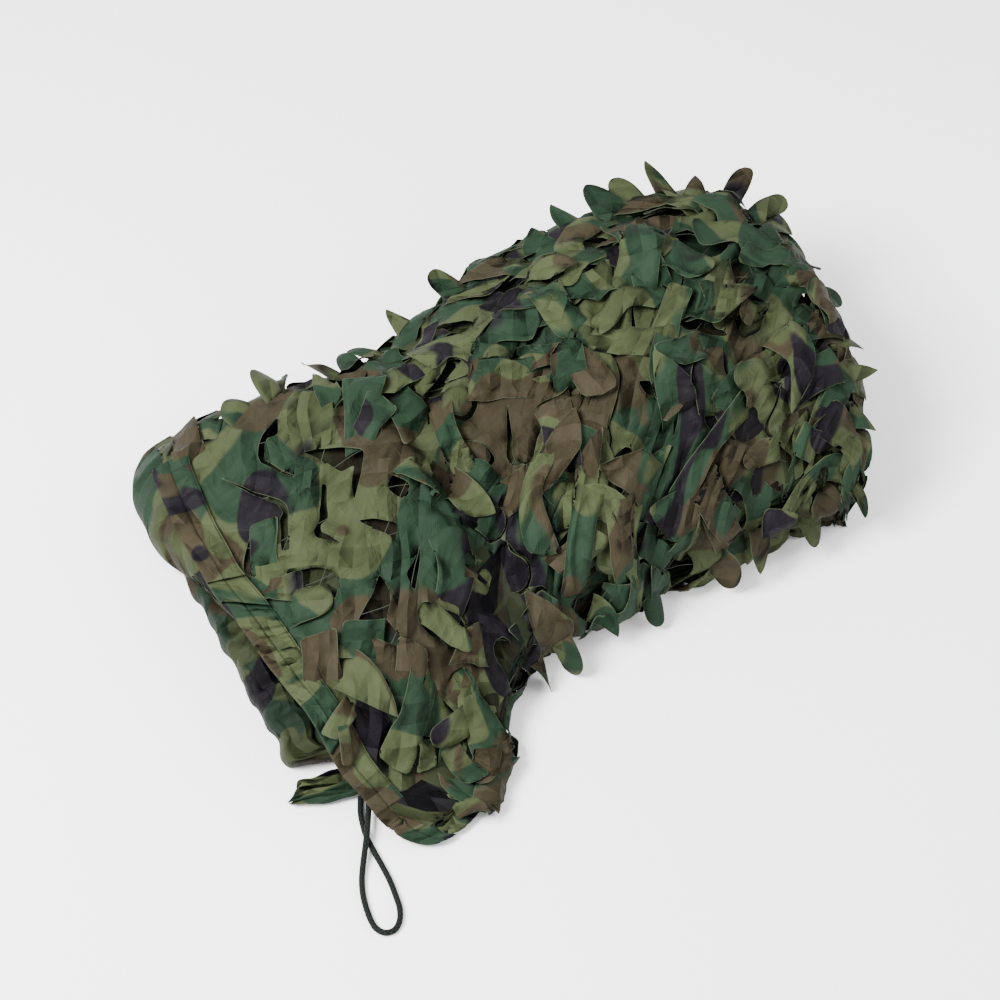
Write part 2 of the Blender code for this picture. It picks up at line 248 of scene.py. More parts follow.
def make_piece(name, points, uv, material, faces=None, cut_edge=FAR_FROM_EDGE, shade=1.0,
               thickness=None):
    """Put arrays into one smooth mesh object. Without faces, the points are one or more grids.

    A thickness is laid evenly about the surface, so that cloth has two sides and a cut edge.
    """
    mesh = bpy.data.meshes.new(name)
    grid = np.shape(points)[:-1]
    faces = np.asarray(grid_quads(grid) if faces is None else faces, dtype=np.int32)
    mesh.vertices.add(math.prod(grid))
    mesh.vertices.foreach_set("co", np.asarray(points, dtype=np.float32).ravel())
    mesh.loops.add(faces.size)
    mesh.loops.foreach_set("vertex_index", faces.ravel())
    mesh.polygons.add(len(faces))
    mesh.polygons.foreach_set("loop_start", np.arange(0, faces.size, faces.shape[1], dtype=np.int32))
    mesh.update(calc_edges=True)
    uv = np.asarray(uv, dtype=np.float32).reshape(-1, 2)
    mesh.uv_layers.new(name="UVMap").data.foreach_set("uv", uv[faces.ravel()].ravel())
    for label, values in (("cut_edge", cut_edge), ("shade", shade)):
        values = np.broadcast_to(values, grid).astype(np.float32)
        mesh.attributes.new(label, "FLOAT", "POINT").data.foreach_set("value", values.ravel())
    mesh.validate()
    mesh.shade_smooth()
    mesh.materials.append(material)
    piece = bpy.data.objects.new(name, mesh)
    bpy.context.scene.collection.objects.link(piece)
    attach(piece, root)
    if thickness:
        solid = piece.modifiers.new("thickness", "SOLIDIFY")
        solid.thickness, solid.offset, solid.use_even_offset = thickness, 0.0, False
    print(f"{name}: {len(mesh.polygons)} faces")
    return piece


print("a grid of 3 by 4 points has", len(grid_quads((3, 4))), "faces")


# %% [markdown]
# ## Finishes
#
# Materials are graphs of nodes. They could be joined one link at a time. A few helpers
# instead add a node, join its inputs and hand back its output, so that a finish reads like
# a formula.


# %% Helpers: nodes
def new_material(name, roughness, gloss):
    """An empty Principled material. Returns it with its node tree and its shader."""
    material = bpy.data.materials.new(name)
    material.use_nodes = True
    shader = material.node_tree.nodes["Principled BSDF"]
    shader.inputs["Roughness"].default_value = roughness
    shader.inputs["Specular IOR Level"].default_value = gloss
    return material, material.node_tree, shader


def put(tree, socket, value):
    """Join another node's output to a socket, or set the socket's plain value."""
    if isinstance(value, bpy.types.NodeSocket):
        tree.links.new(value, socket)
    elif value is not None:
        socket.default_value = value


def add_node(tree, kind, *inputs, **settings):
    """Add one node. `inputs` go to its first sockets, settings to its properties or named sockets."""
    node = tree.nodes.new("ShaderNode" + kind)
    for key, value in settings.items():
        if hasattr(node, key):
            setattr(node, key, value)
        else:
            put(tree, node.inputs[key.replace("_", " ")], value)
    for socket, value in zip(node.inputs, inputs):
        put(tree, socket, value)
    return node


def maths(tree, operation, *values):
    """One sum of sockets and plain numbers."""
    return add_node(tree, "Math", *values, operation=operation).outputs[0]


def level(tree, value, low, high):
    """0 below low, 1 above high, and smooth between them."""
    return add_node(tree, "MapRange", value, low, high, interpolation_type="SMOOTHSTEP").outputs["Result"]


def mix_colour(tree, factor, first, second, blend_type="MIX"):
    """Mix two colours, each a socket or a plain colour, by a factor."""
    mix = add_node(tree, "Mix", factor, data_type="RGBA", blend_type=blend_type)
    for socket, value in zip(mix.inputs[6:8], (first, second)):
        put(tree, socket, (*value, 1.0) if isinstance(value, tuple) else value)
    return mix.outputs[2]


def uv_places(tree, scale=(1.0, 1.0, 1.0), shift=(0.0, 0.0, 0.0), turn=0.0):
    """The piece's own UV map in metres, stretched, turned and shifted."""
    places = add_node(tree, "UVMap", uv_map="UVMap").outputs["UV"]
    moved = add_node(tree, "Mapping", places, Scale=scale, Location=shift, Rotation=(0.0, 0.0, turn))
    return moved.outputs["Vector"]


def noise_at(tree, places, **settings):
    """A soft noise, read at the places."""
    return add_node(tree, "TexNoise", places, **settings).outputs["Fac"]


def value_of(tree, name):
    """One of the values that make_piece gives each point."""
    return add_node(tree, "Attribute", attribute_name=name).outputs["Fac"]


def bump(tree, height, distance, normal=None, strength=1.0):
    """Tilt the surface by a height, on top of an earlier normal."""
    tilted = add_node(tree, "Bump", Height=height, Distance=distance, Strength=strength, Normal=normal)
    return tilted.outputs["Normal"]


print("materials so far:", [m.name for m in bpy.data.materials])


# %% [markdown]
# The cloth carries a common woodland print: a deep green ground with olive, brown and
# near-black patches that have soft, winding outlines. It could be a painted picture. Here
# the patches come from noise that is cut at a level, one noise for each colour, because a
# noise never repeats and needs no file. It is read on the cloth's own UV map in metres, so
# the print bends with the cloth and runs on across the cuts, as a real print does.


# %% The print's colours and patches
GROUND_GREEN = (0.0100, 0.0215, 0.0122)
PATCHES = [
    # colour, noise size, level, shift: the olive patches, then the brown and the near-black ones
    ((0.0330, 0.0405, 0.0185), 12.0, 0.495, 3.1),
    ((0.0240, 0.0197, 0.0114), 11.5, 0.555, 11.7),
    ((0.0062, 0.0052, 0.0070), 12.0, 0.635, 23.9),
]
PATCH_NOISE = {"Detail": 1.4, "Roughness": 0.42, "Distortion": 0.55}
PATCH_SOFTNESS = 0.010
PATCH_STRETCH = (1.0, 0.72, 1.0)


def woodland(tree, size):
    """The woodland print as a colour socket: each patch colour covers the ones before it."""
    colour = GROUND_GREEN
    for patch, noise_size, cut, shift in PATCHES:
        places = uv_places(tree, PATCH_STRETCH, (shift, shift * 0.7, 0.0))
        noise = noise_at(tree, places, Scale=noise_size * size, **PATCH_NOISE)
        inside = level(tree, noise, cut - PATCH_SOFTNESS, cut + PATCH_SOFTNESS)
        colour = mix_colour(tree, inside, colour, patch)
    return colour


print("patch colours over the ground:", len(PATCHES))


# %% [markdown]
# The cloth itself is thin coated polyester. It has a fine plain weave, a slight sheen, and
# sharp little creases from having been packed. Where it was stamped, the hot blade left a
# pale, fused rim. The creases and weave are bump, since they are finer than the mesh can
# hold, and the rim is colour by `cut_edge`.


# %% The cloth's creases
CRUMPLES = [
    # size, stretch,           shift,             height
    (44.0, (1.0, 0.40, 1.0), (0.37, 0.11, 0.0), 0.0048),
    (110.0, (0.45, 1.0, 1.0), (0.71, 0.53, 0.0), 0.0016),
]
LONG_CREASES = [
    # turn, spacing, steepness, shift
    (0.65, 0.011, 0.64, 0.13),
    (-0.85, 0.015, 0.56, 0.57),
]
CREASE_WANDER, WANDER_SIZE = 0.045, 9.0
CREASE_PLACES, PLACES_LOW, PLACES_HIGH = 13.0, 0.41, 0.59


def crumple(tree):
    """Flat facets with straight creases between them, in two sizes.

    The height is the distance to the nearest of loose points. It slopes evenly round each
    point, and turns sharply halfway to the next.
    """
    normal = None
    for size, stretch, shift, height in CRUMPLES:
        places = uv_places(tree, stretch, shift)
        facets = add_node(tree, "TexVoronoi", places, feature="F1", Scale=size, Randomness=1.0)
        normal = bump(tree, facets.outputs["Distance"], height, normal)
    return normal


def long_creases(tree, normal):
    """Straight pleat-like creases in patches, in two headings.

    The height rises and falls evenly across the crease, like a folded strip, on a coordinate
    that wanders a little. A second noise says where the cloth is creased and where it's smooth.
    """
    for turn, spacing, steepness, shift in LONG_CREASES:
        straight = add_node(tree, "SeparateXYZ", uv_places(tree, turn=turn)).outputs["X"]
        wander = noise_at(tree, uv_places(tree, shift=(shift, 0.0, 0.0)), Scale=WANDER_SIZE, Detail=1.0)
        place = maths(tree, "MULTIPLY_ADD", wander, CREASE_WANDER, straight)
        folded = maths(tree, "PINGPONG", place, spacing)
        patches = noise_at(tree, uv_places(tree, shift=(0.0, shift, 0.0)), Scale=CREASE_PLACES, Detail=1.0)
        creased = maths(tree, "MULTIPLY", level(tree, patches, PLACES_LOW, PLACES_HIGH), folded)
        normal = bump(tree, creased, steepness, normal)
    return normal


print("crumple sizes:", [size for size, _, _, _ in CRUMPLES], "long creases:", len(LONG_CREASES))


# %% [markdown]
# Now the finishes. The leaves and the cut sheet have the pale rim. The plies inside have no
# cut edge that shows. At the hem the print is a little smaller, because there the cloth and
# its tape lie in small folds.


# %% The cloth's finishes
PACKING_NOISE = {"Scale": 34.0, "Detail": 2.5, "Roughness": 0.55, "Distortion": 1.2}
PACKING_STRETCH, CREASE_LINE = (1.0, 0.45, 1.0), 0.022
WEAVE_SIZE, WEAVE_PART = 1400.0, 0.12
FINE_DISTANCE, FINE_STRENGTH = 0.0008, 0.30
WORN_LEVELS, WORN_DARK, WORN_PALE = (0.25, 0.85), (0.86, 0.86, 0.84), (1.16, 1.16, 1.14)
RIM, RIM_WIDTH = (0.040, 0.050, 0.028), 0.0005
CLOTH_ROUGHNESS, CLOTH_GLOSS = 0.62, 0.05
HEM_PRINT_SIZE = 1.35


def printed_cloth(name, size=1.0, rim=False):
    """Printed polyester, a little worn in patches, and pale along its cut edges if it has a rim.

    Its small packing creases are the level lines of a noise. The same noise says where it's worn.
    """
    material, tree, shader = new_material(name, CLOTH_ROUGHNESS, CLOTH_GLOSS)
    packing = noise_at(tree, uv_places(tree, PACKING_STRETCH), **PACKING_NOISE)
    line = level(tree, maths(tree, "ABSOLUTE", maths(tree, "SUBTRACT", packing, 0.5)), 0.0, CREASE_LINE)
    weave = noise_at(tree, uv_places(tree), Scale=WEAVE_SIZE, Detail=0.0)
    fine = maths(tree, "MULTIPLY_ADD", weave, WEAVE_PART, line)
    normal = bump(tree, fine, FINE_DISTANCE, long_creases(tree, crumple(tree)), FINE_STRENGTH)
    put(tree, shader.inputs["Normal"], normal)
    worn = mix_colour(tree, level(tree, packing, *WORN_LEVELS), WORN_DARK, WORN_PALE)
    colour = mix_colour(tree, 1.0, woodland(tree, size), worn, "MULTIPLY")
    # Painted shade: the `shade` value darkens the colour where the cloth lies deep or covered.
    colour = mix_colour(tree, 1.0, colour, value_of(tree, "shade"), "MULTIPLY")
    if rim:
        away = level(tree, value_of(tree, "cut_edge"), RIM_WIDTH * 0.4, RIM_WIDTH)
        colour = mix_colour(tree, away, RIM, colour)
    put(tree, shader.inputs["Base Color"], colour)
    return material


leaf_cloth = printed_cloth("leaf_cloth", rim=True)
inner_cloth = printed_cloth("inner_cloth")
hem_cloth = printed_cloth("hem_cloth", size=HEM_PRINT_SIZE)
print("materials:", [m.name for m in bpy.data.materials])


# %% [markdown]
# ## The rope loop
#
# A loop of 5 mm braided cord leaves the hem, crosses itself and lies open on the surface.
# The whole cord shows, so its length is the length of this route. It could be one of
# Blender's curves with a round section. A tube worked out here is used instead, because its
# UV map then runs in plaits along the cord. A tube is a circle carried along a path: at each
# point, two directions square to the path span the circle.


# %% Rope: route and tube
ROPE_DIAMETER = 0.005
ROPE_ROUTE = np.array([
    # x,     y,      z
    (-0.2990, -0.1520, 0.0088),
    (-0.3085, -0.1660, 0.0086),
    (-0.3150, -0.1750, 0.0087),
    (-0.3215, -0.1835, 0.0086),
    (-0.3285, -0.1920, 0.0082),
    (-0.3360, -0.2005, 0.0064),
    (-0.3435, -0.2090, 0.0040),
    (-0.3505, -0.2180, 0.0028),
    (-0.3570, -0.2290, 0.0026),
    (-0.3620, -0.2410, 0.0026),
    (-0.3655, -0.2530, 0.0026),
    (-0.3662, -0.2620, 0.0026),
    (-0.3625, -0.2690, 0.0026),
    (-0.3550, -0.2712, 0.0026),
    (-0.3470, -0.2665, 0.0026),
    (-0.3405, -0.2570, 0.0026),
    (-0.3365, -0.2450, 0.0026),
    (-0.3330, -0.2330, 0.0026),
    (-0.3305, -0.2200, 0.0026),
    (-0.3285, -0.2070, 0.0026),
    (-0.3265, -0.1950, 0.0026),
    (-0.3240, -0.1840, 0.0026),
    (-0.3200, -0.1735, 0.0026),
    (-0.3155, -0.1640, 0.0026),
    (-0.3073, -0.1519, 0.0026),
]) - PLAN_MIDDLE
ROPE_POINTS, ROPE_SIDES = 140, 14
PLAIT_LENGTH, PLAIT_BANDS, PLAIT_DEPTH, PLAIT_STRENGTH = 0.004, 4.0, 0.0012, 0.9
CORD_ROUGHNESS, CORD_GLOSS = 0.72, 0.10
CORD_GROOVE_SHADE, CORD_RAISED = (0.0015, 0.0024, 0.0018), (0.010, 0.015, 0.011)


def tube(path, radius, around):
    """A circle carried along a path. Its plane is square to the path, and one axis stays level."""
    ahead = np.gradient(path, axis=0)
    ahead /= np.linalg.norm(ahead, axis=1, keepdims=True)
    side = np.cross(ahead, (0.0, 0.0, 1.0))
    side /= np.linalg.norm(side, axis=1, keepdims=True) + 1e-12
    top = np.cross(side, ahead)
    angle = np.linspace(0.0, 2.0 * math.pi, around, endpoint=False)
    circle = np.cos(angle)[None, :, None] * side[:, None] + np.sin(angle)[None, :, None] * top[:, None]
    return path[:, None, :] + radius * circle


def braid_material(name):
    """Dark braided cord: two crossing sets of diagonal bands, as bump, and as colour with painted shade in
    the grooves.
    """
    material, tree, shader = new_material(name, CORD_ROUGHNESS, CORD_GLOSS)
    parts = add_node(tree, "SeparateXYZ", uv_places(tree)).outputs
    bands = [maths(tree, "PINGPONG", maths(tree, "MULTIPLY_ADD", parts["Y"], slant, parts["X"]), 0.5)
             for slant in (PLAIT_BANDS, -PLAIT_BANDS)]
    both = maths(tree, "MULTIPLY", *bands)
    put(tree, shader.inputs["Normal"], bump(tree, both, PLAIT_DEPTH, strength=PLAIT_STRENGTH))
    # Painted shade: the cord's colour is darker where its bump is low, in the grooves between the plaits.
    colour = mix_colour(tree, level(tree, both, 0.02, 0.20), CORD_GROOVE_SHADE, CORD_RAISED)
    put(tree, shader.inputs["Base Color"], colour)
    return material


route_start, route_end = 2 * ROPE_ROUTE[:1] - ROPE_ROUTE[1:2], 2 * ROPE_ROUTE[-1:] - ROPE_ROUTE[-2:-1]
fine_route = smooth_pieces(np.concatenate((route_start, ROPE_ROUTE, route_end)), 0.5, 12)
fine_route = np.concatenate((fine_route, ROPE_ROUTE[-1:]))
rope_length = run_of(fine_route)[-1]
rope_path = read_path(np.linspace(0.0, rope_length, ROPE_POINTS), run_of(fine_route), fine_route)
rope_uv = stacked(np.linspace(0.0, rope_length / PLAIT_LENGTH, ROPE_POINTS)[:, None],
                  np.linspace(0.0, 1.0, ROPE_SIDES, endpoint=False)[None, :])
rope = make_piece("rope_cord", tube(rope_path, ROPE_DIAMETER / 2.0, ROPE_SIDES), rope_uv,
                  braid_material("braided_cord"), grid_quads(rope_uv.shape[:2], closed=True))
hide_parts("rope_loop")
print("rope length", round(float(rope_length), 3), "m")


# %% [markdown]
# ## The lying shape
#
# A folded net slumps: it is lower at its near side, narrow at the waist and domed at the
# bulky end. The bundle is described as a straight stack and then bent. In the stack, `x` runs
# along the bundle in metres, `v` across it from -1 (near) to 1 (far), and `w` upwards from 0
# to 1. The tables are the CAD part's own, so whatever is built on them sits in its solid. Two
# things differ: the low hem is drawn in by a few millimetres, because gathered tape adds to
# it, and the two creases at the waist are deeper, because loose cloth bridges them.


# %% Tables of the lying shape
BODY = np.array([
    # x,     near,   far,   height, near_drop, far_drop, tuck, slump
    (-0.335, -0.230, 0.232, 0.066, 0.80, 0.30, 0.02, 1.0),
    (-0.270, -0.236, 0.236, 0.082, 0.82, 0.30, 0.03, 1.0),
    (-0.215, -0.224, 0.234, 0.100, 0.76, 0.28, 0.06, 0.9),
    (-0.150, -0.166, 0.222, 0.113, 0.50, 0.26, 0.12, 0.4),
    (-0.090, -0.140, 0.214, 0.120, 0.34, 0.24, 0.16, 0.0),
    (-0.010, -0.140, 0.220, 0.140, 0.28, 0.24, 0.19, 0.0),
    (0.080, -0.158, 0.230, 0.160, 0.28, 0.24, 0.20, 0.0),
    (0.170, -0.178, 0.236, 0.168, 0.28, 0.24, 0.20, 0.0),
    (0.250, -0.184, 0.236, 0.164, 0.30, 0.26, 0.20, 0.0),
    (0.335, -0.184, 0.226, 0.140, 0.34, 0.30, 0.20, 0.0),
])
BULKY_END = np.array([(-1.00, 0.165), (-0.85, 0.205), (-0.50, 0.248), (0.00, 0.276),
                      (0.50, 0.292), (0.85, 0.262), (1.00, 0.220)])
TOP_HEM = np.array([(-1.00, -0.266), (-0.94, -0.288), (-0.80, -0.304), (-0.60, -0.309),
                    (-0.40, -0.306), (0.00, -0.299), (0.40, -0.294), (0.75, -0.284), (1.00, -0.262)])
MIDDLE_FOLD = np.array([(-1.00, -0.222), (-0.50, -0.262), (0.00, -0.282), (0.50, -0.292),
                        (0.90, -0.289), (1.00, -0.278)])
LOW_HEM = np.array([(-1.00, -0.225), (-0.66, -0.272), (-0.52, -0.300), (-0.47, -0.322), (-0.44, -0.334),
                    (-0.41, -0.333), (0.00, -0.320), (0.50, -0.303), (1.00, -0.264)])
CREASES = [
    # start_x, start_y, end_x, end_y, half_width, depth
    (-0.094, 0.060, -0.112, -0.060, 0.018, 0.019),
    (-0.112, -0.060, -0.128, -0.160, 0.023, 0.030),
    (-0.040, 0.165, 0.010, 0.225, 0.026, 0.014),
    (-0.215, 0.060, -0.150, -0.060, 0.016, 0.006),
    (0.150, 0.060, 0.200, -0.090, 0.020, 0.006),
]
BELLY_LEVEL, FOOT_TUCK, SIDE_POWER = 0.40, 0.08, 3.0
SLUMP_START, SLUMP_END, CREASE_LEVEL = 0.38, 0.84, 0.35


def crease_depth(x, y):
    """The deepest of the creases here: each is a bell curve of the distance to its straight line."""
    return np.max([deepest * bell(near_line(x, y, *line)[1], half_width)
                   for *line, half_width, deepest in CREASES], axis=0)


def lay(x, v, w):
    """Bend the straight stack: y is the middle plus v half-widths, z is w times the local height."""
    x, v, w = np.broadcast_arrays(x, v, w)
    near, far, height, near_drop, far_drop, tuck, slump = (read_table(BODY, x, c) for c in range(1, 8))
    above = np.clip((w - BELLY_LEVEL) / (1.0 - BELLY_LEVEL), 0.0, 1.0)
    below = np.clip((BELLY_LEVEL - w) / BELLY_LEVEL, 0.0, 1.0)
    width = 1.0 - tuck * above**2 - FOOT_TUCK * below**2
    y = (near + far) / 2.0 + (far - near) / 2.0 * v * width
    rounded = np.abs(v) ** SIDE_POWER
    slumped = ease(-v, SLUMP_START, SLUMP_END - SLUMP_START)
    near_fall = near_drop * ((1.0 - slump) * rounded + slump * slumped)
    fall = np.where(v < 0.0, near_fall, far_drop * rounded)
    felt = ease(w, CREASE_LEVEL, 1.0 - CREASE_LEVEL)
    z = height * w * (1.0 - fall) - crease_depth(x, y) * felt * (1.0 - fall)
    return np.stack((x, y, z), axis=-1) - PLAN_MIDDLE


print("crest at the bulky end", np.round(lay(0.17, 0.0, 1.0), 3))


# %% [markdown]
# ## The plies of the folded net
#
# Opened out, the net is about three metres each way. Folded widthwise it makes eight plies,
# and those are laid back and forth in four layers. A stack of separate sheets would look the
# same from outside, but at the hem the folds show. So we follow the real path with one thin
# sheet: `along` runs through the four layers and their three folds, `across` zigzags
# through the eight plies.


# %% The path through layers and folds
LAYERS, LAYER_GAP = 4, 0.045
RIGHT_FOLD_REACH, LEFT_FOLD_REACH, INNER_FOLD_REACH = 0.036, 0.018, 0.003
PLY_REACH = 0.014
LAYER_STEPS, FOLD_STEPS = 14, 6
PLIES, PLY_STATIONS, SIDE_STATIONS = 8, 13, 3
PLY_HALF, PLY_TURN = 0.97, 0.02


def layer_path(layer, from_x, to_x):
    """One layer: x blends from its start to its end, and its two faces keep their levels."""
    low = layer / LAYERS + (LAYER_GAP / 2.0 if layer else 0.0)
    high = (layer + 1) / LAYERS - LAYER_GAP / 2.0
    first, second = (low, high) if layer % 2 == 0 else (high, low)
    return [(from_x + (to_x - from_x) * s, first, from_x + (to_x - from_x) * s, second)
            for s in np.linspace(0.0, 1.0, LAYER_STEPS)]


def fold_path(lower_layer, end_x, side, reach):
    """One fold: its outer and inner faces are half circles, in x and level, about its middle."""
    middle, outer, inner = (lower_layer + 1) / LAYERS, 1.0 / LAYERS - LAYER_GAP / 2.0, LAYER_GAP / 2.0
    rows = []
    for angle in np.linspace(-math.pi / 2.0, math.pi / 2.0, FOLD_STEPS + 2)[1:-1]:
        outside = (end_x + side * reach * math.cos(angle), middle + outer * math.sin(angle))
        inside = (end_x + side * INNER_FOLD_REACH * math.cos(angle), middle + inner * math.sin(angle))
        rows.append((*outside, *inside) if side > 0 else (*inside, *outside))
    return rows


ply_v, ply_t = [], []
side_turn = np.linspace(-math.pi / 2.0, math.pi / 2.0, SIDE_STATIONS + 2)[1:-1]
for ply in range(PLIES):
    side = 1.0 if ply % 2 == 0 else -1.0
    ply_v.append(np.linspace(-PLY_HALF, PLY_HALF, PLY_STATIONS) * side)
    ply_t.append(np.full(PLY_STATIONS, (ply + 0.5) / PLIES))
    if ply < PLIES - 1:
        ply_v.append(side * (PLY_HALF + PLY_TURN * np.cos(side_turn)))
        ply_t.append((ply + 1.0 + 0.5 * np.sin(side_turn)) / PLIES)
ply_v, ply_t = np.concatenate(ply_v), np.concatenate(ply_t)

bulky, middle_fold = read_table(BULKY_END, ply_v), read_table(MIDDLE_FOLD, ply_v)
path = layer_path(0, read_table(LOW_HEM, ply_v), bulky)
path += fold_path(0, bulky, 1.0, PLY_REACH)
path += layer_path(1, bulky, middle_fold)
path += fold_path(1, middle_fold, -1.0, LEFT_FOLD_REACH)
path += layer_path(2, middle_fold, bulky)
path += fold_path(2, bulky, 1.0, PLY_REACH)
path += layer_path(3, bulky, read_table(TOP_HEM, ply_v))
first_x, first_w, second_x, second_w = (np.array([np.broadcast_to(row[k], ply_v.shape) for row in path])
                                        for k in range(4))
print("rows along:", len(path), "points across:", len(ply_v))


# %% [markdown]
# Real plies aren't flat, so the path gets a few slow waves. The plies also stay a little
# inside the part's surface, because the cut cloth lies over them. Their colour carries painted
# shade: darkest just inside the hem, where they are covered, and lighter where the hem leaves
# them open.


# %% The plies themselves
EDGE = np.array([(0.0, 1.0), (0.88, 1.0), (0.95, 0.93), (0.985, 0.75), (1.0, 0.42)])
NET_SIDE = 3.0
PLY_SHRINK, PLY_LIFT, PLY_LOWEST, PLY_HIGHEST = 0.955, 0.010, 0.006, 0.98
# Painted shade of the plies: deep inside, where the hem leaves them open, and just under the top ply.
PLY_SHADE_DEEP, PLY_SHADE_OPEN, PLY_SHADE_COVERED = 0.55, 0.62, 0.30
PLY_SIDE, PLY_FAR_HEM, PLY_TOP, PLY_INSET, PLY_ROUND = 0.935, 0.05, 0.95, 0.08, 6.0

run_along = np.linspace(0.0, NET_SIDE, len(path))[:, None]
run_across = np.linspace(0.0, NET_SIDE, len(ply_v))[None, :]
ply_x = first_x + (second_x - first_x) * ply_t + 0.0025 * waves(run_along, run_across, 0.30, 5)
ply_w = first_w + (second_w - first_w) * ply_t
ply_middle = np.where(np.minimum(first_w, second_w) < 0.01, 0.0, (first_w + second_w) / 2.0)
ply_w = ply_middle + (ply_w - ply_middle) * read_table(EDGE, np.abs(ply_v))[None, :]
ply_w = ply_w * PLY_SHRINK + PLY_LIFT + 0.006 * waves(run_along, run_across, 0.12, 6)
ply_ceiling = PLY_TOP * (1.0 - np.abs(ply_v) ** PLY_ROUND) ** (1.0 / PLY_ROUND)
ply_w = np.minimum(np.clip(ply_w, PLY_LOWEST, PLY_HIGHEST), ply_ceiling[None, :])
ply_w = ply_w * (1.0 - PLY_INSET * ease(ply_x, -0.20, 0.10))
ply_side = PLY_SIDE + PLY_FAR_HEM * ease(ply_v, 0.2, 0.5)[None, :] * (1.0 - ease(ply_x, -0.25, 0.08))
shaded_under_hem = ease(ply_x, -0.262, 0.020) * (1.0 - ease(ply_x, -0.10, 0.06))
ply_shade = (PLY_SHADE_DEEP + (PLY_SHADE_OPEN - PLY_SHADE_DEEP) * ease(-ply_x, 0.258, 0.026)
             - (PLY_SHADE_DEEP - PLY_SHADE_COVERED) * shaded_under_hem)
ply_points = lay(ply_x, ply_v[None, :] * ply_side, ply_w)
plies = make_piece("net_plies", ply_points, stacked(run_along, run_across), inner_cloth,
                   shade=ply_shade)
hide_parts("net_folded")


# %% [markdown]
# ## A skin to lay cloth on
#
# The cut cloth that shows lies over the bundle's outer surface. Blender can shrink a mesh
# onto another, but then we don't know where a leaf will land. We need to place things on
# that surface by plain lengths: `a` metres along it from the hem, `b` metres across it from
# the crest, and `h` metres above it. A skin is a grid of places and of outward directions,
# read between its points.


# %% Helpers: read a skin
SKIN_STEP = 0.005
SKIN_A, SKIN_B = -0.035, 0.36


def even_rows(points, zero_column):
    """Read each row of points at even lengths, as far as SKIN_B to both sides of its zero column."""
    run = run_of(points)
    run -= run[:, zero_column:zero_column + 1]
    even = np.arange(-SKIN_B, SKIN_B + SKIN_STEP / 2.0, SKIN_STEP)
    return np.array([read_path(even, row_run, row) for row_run, row in zip(run, points)])


def outward(points, inner_point):
    """Unit directions square to both grid directions, turned away from a point inside."""
    normal = np.cross(np.gradient(points, axis=0), np.gradient(points, axis=1))
    normal /= np.linalg.norm(normal, axis=2, keepdims=True) + 1e-12
    away = np.sum(normal * (points - inner_point), axis=2, keepdims=True)
    return np.where(away < 0.0, -normal, normal)


def on_skin(a, b, h):
    """Place at lengths a and b and height h: the four nearest grid points, mixed by distance."""
    i = np.clip((a - SKIN_A) / SKIN_STEP, 0.0, skin_places.shape[0] - 1.001)
    j = np.clip((b + SKIN_B) / SKIN_STEP, 0.0, skin_places.shape[1] - 1.001)
    i0, j0 = i.astype(int), j.astype(int)
    u, v = (i - i0)[..., None], (j - j0)[..., None]

    def mixed(grid):
        near = grid[i0, j0] * (1.0 - v) + grid[i0, j0 + 1] * v
        far = grid[i0 + 1, j0] * (1.0 - v) + grid[i0 + 1, j0 + 1] * v
        return near * (1.0 - u) + far * u

    normal = mixed(skin_normals)
    normal /= np.linalg.norm(normal, axis=-1, keepdims=True) + 1e-12
    return mixed(skin_places) + normal * np.asarray(h)[..., None]


def settled(values, share, rounds):
    """Average the values on a skin with their four neighbours, again and again, by their share."""
    for _ in range(rounds):
        framed = np.pad(values, ((1, 1), (1, 1), (0, 0)), mode="edge")
        around = (framed[:-2, 1:-1] + framed[2:, 1:-1] + framed[1:-1, :-2] + framed[1:-1, 2:]) / 4.0
        values = values + share[..., None] * (around - values)
    return values


print("a skin's row has", int(2 * SKIN_B / SKIN_STEP) + 1, "places")


# %% [markdown]
# The skin starts a little before the top hem (a = 0) and runs along the bundle. Its section
# goes from under the near side, up over the crest (b = 0), and down under the far side. It
# is a superellipse in (v, w), which is a circle pushed out towards a square. It's squarer
# along the far side of the hem, where the folded edge is sharp. Past the bulky end the
# section moves out and sinks to the surface on a quarter superellipse, which closes the end
# like a dome.


# %% The skin's sections
SECTION_POWER, SQUARE_POWER, DOME_POWER = 0.36, 0.20, 0.62
SECTION_SIDE, SECTION_TOP = 0.985, 0.97
SQUARE_UNTIL, SQUARE_FADE = 0.10, 0.12
BODY_LENGTH = 0.575
UNDER_V, UNDER_X, UNDER_ROWS = 0.75, 0.030, 6
INSIDE = np.array([0.02, 0.02, 0.03])

turn = np.linspace(0.0, math.pi, 161)
under = np.linspace(UNDER_V, SECTION_SIDE, 8)[:-1]


def section(far_power):
    """Places (v, w) on a superellipse: the cosine and the sine of an even turn, each to a power.

    Straight rows under the near side and under the far side are put before and after it.
    """
    power = np.where(turn < math.pi / 2.0, SECTION_POWER, far_power)
    side = -np.sign(np.cos(turn)) * np.abs(np.cos(turn)) ** power * SECTION_SIDE
    rise = np.abs(np.sin(turn)) ** power * SECTION_TOP
    rise[[0, -1]] = 0.0
    flat = 0.0 * under
    return stacked(np.concatenate((-under, side, under[::-1])), np.concatenate((flat, rise, flat)))


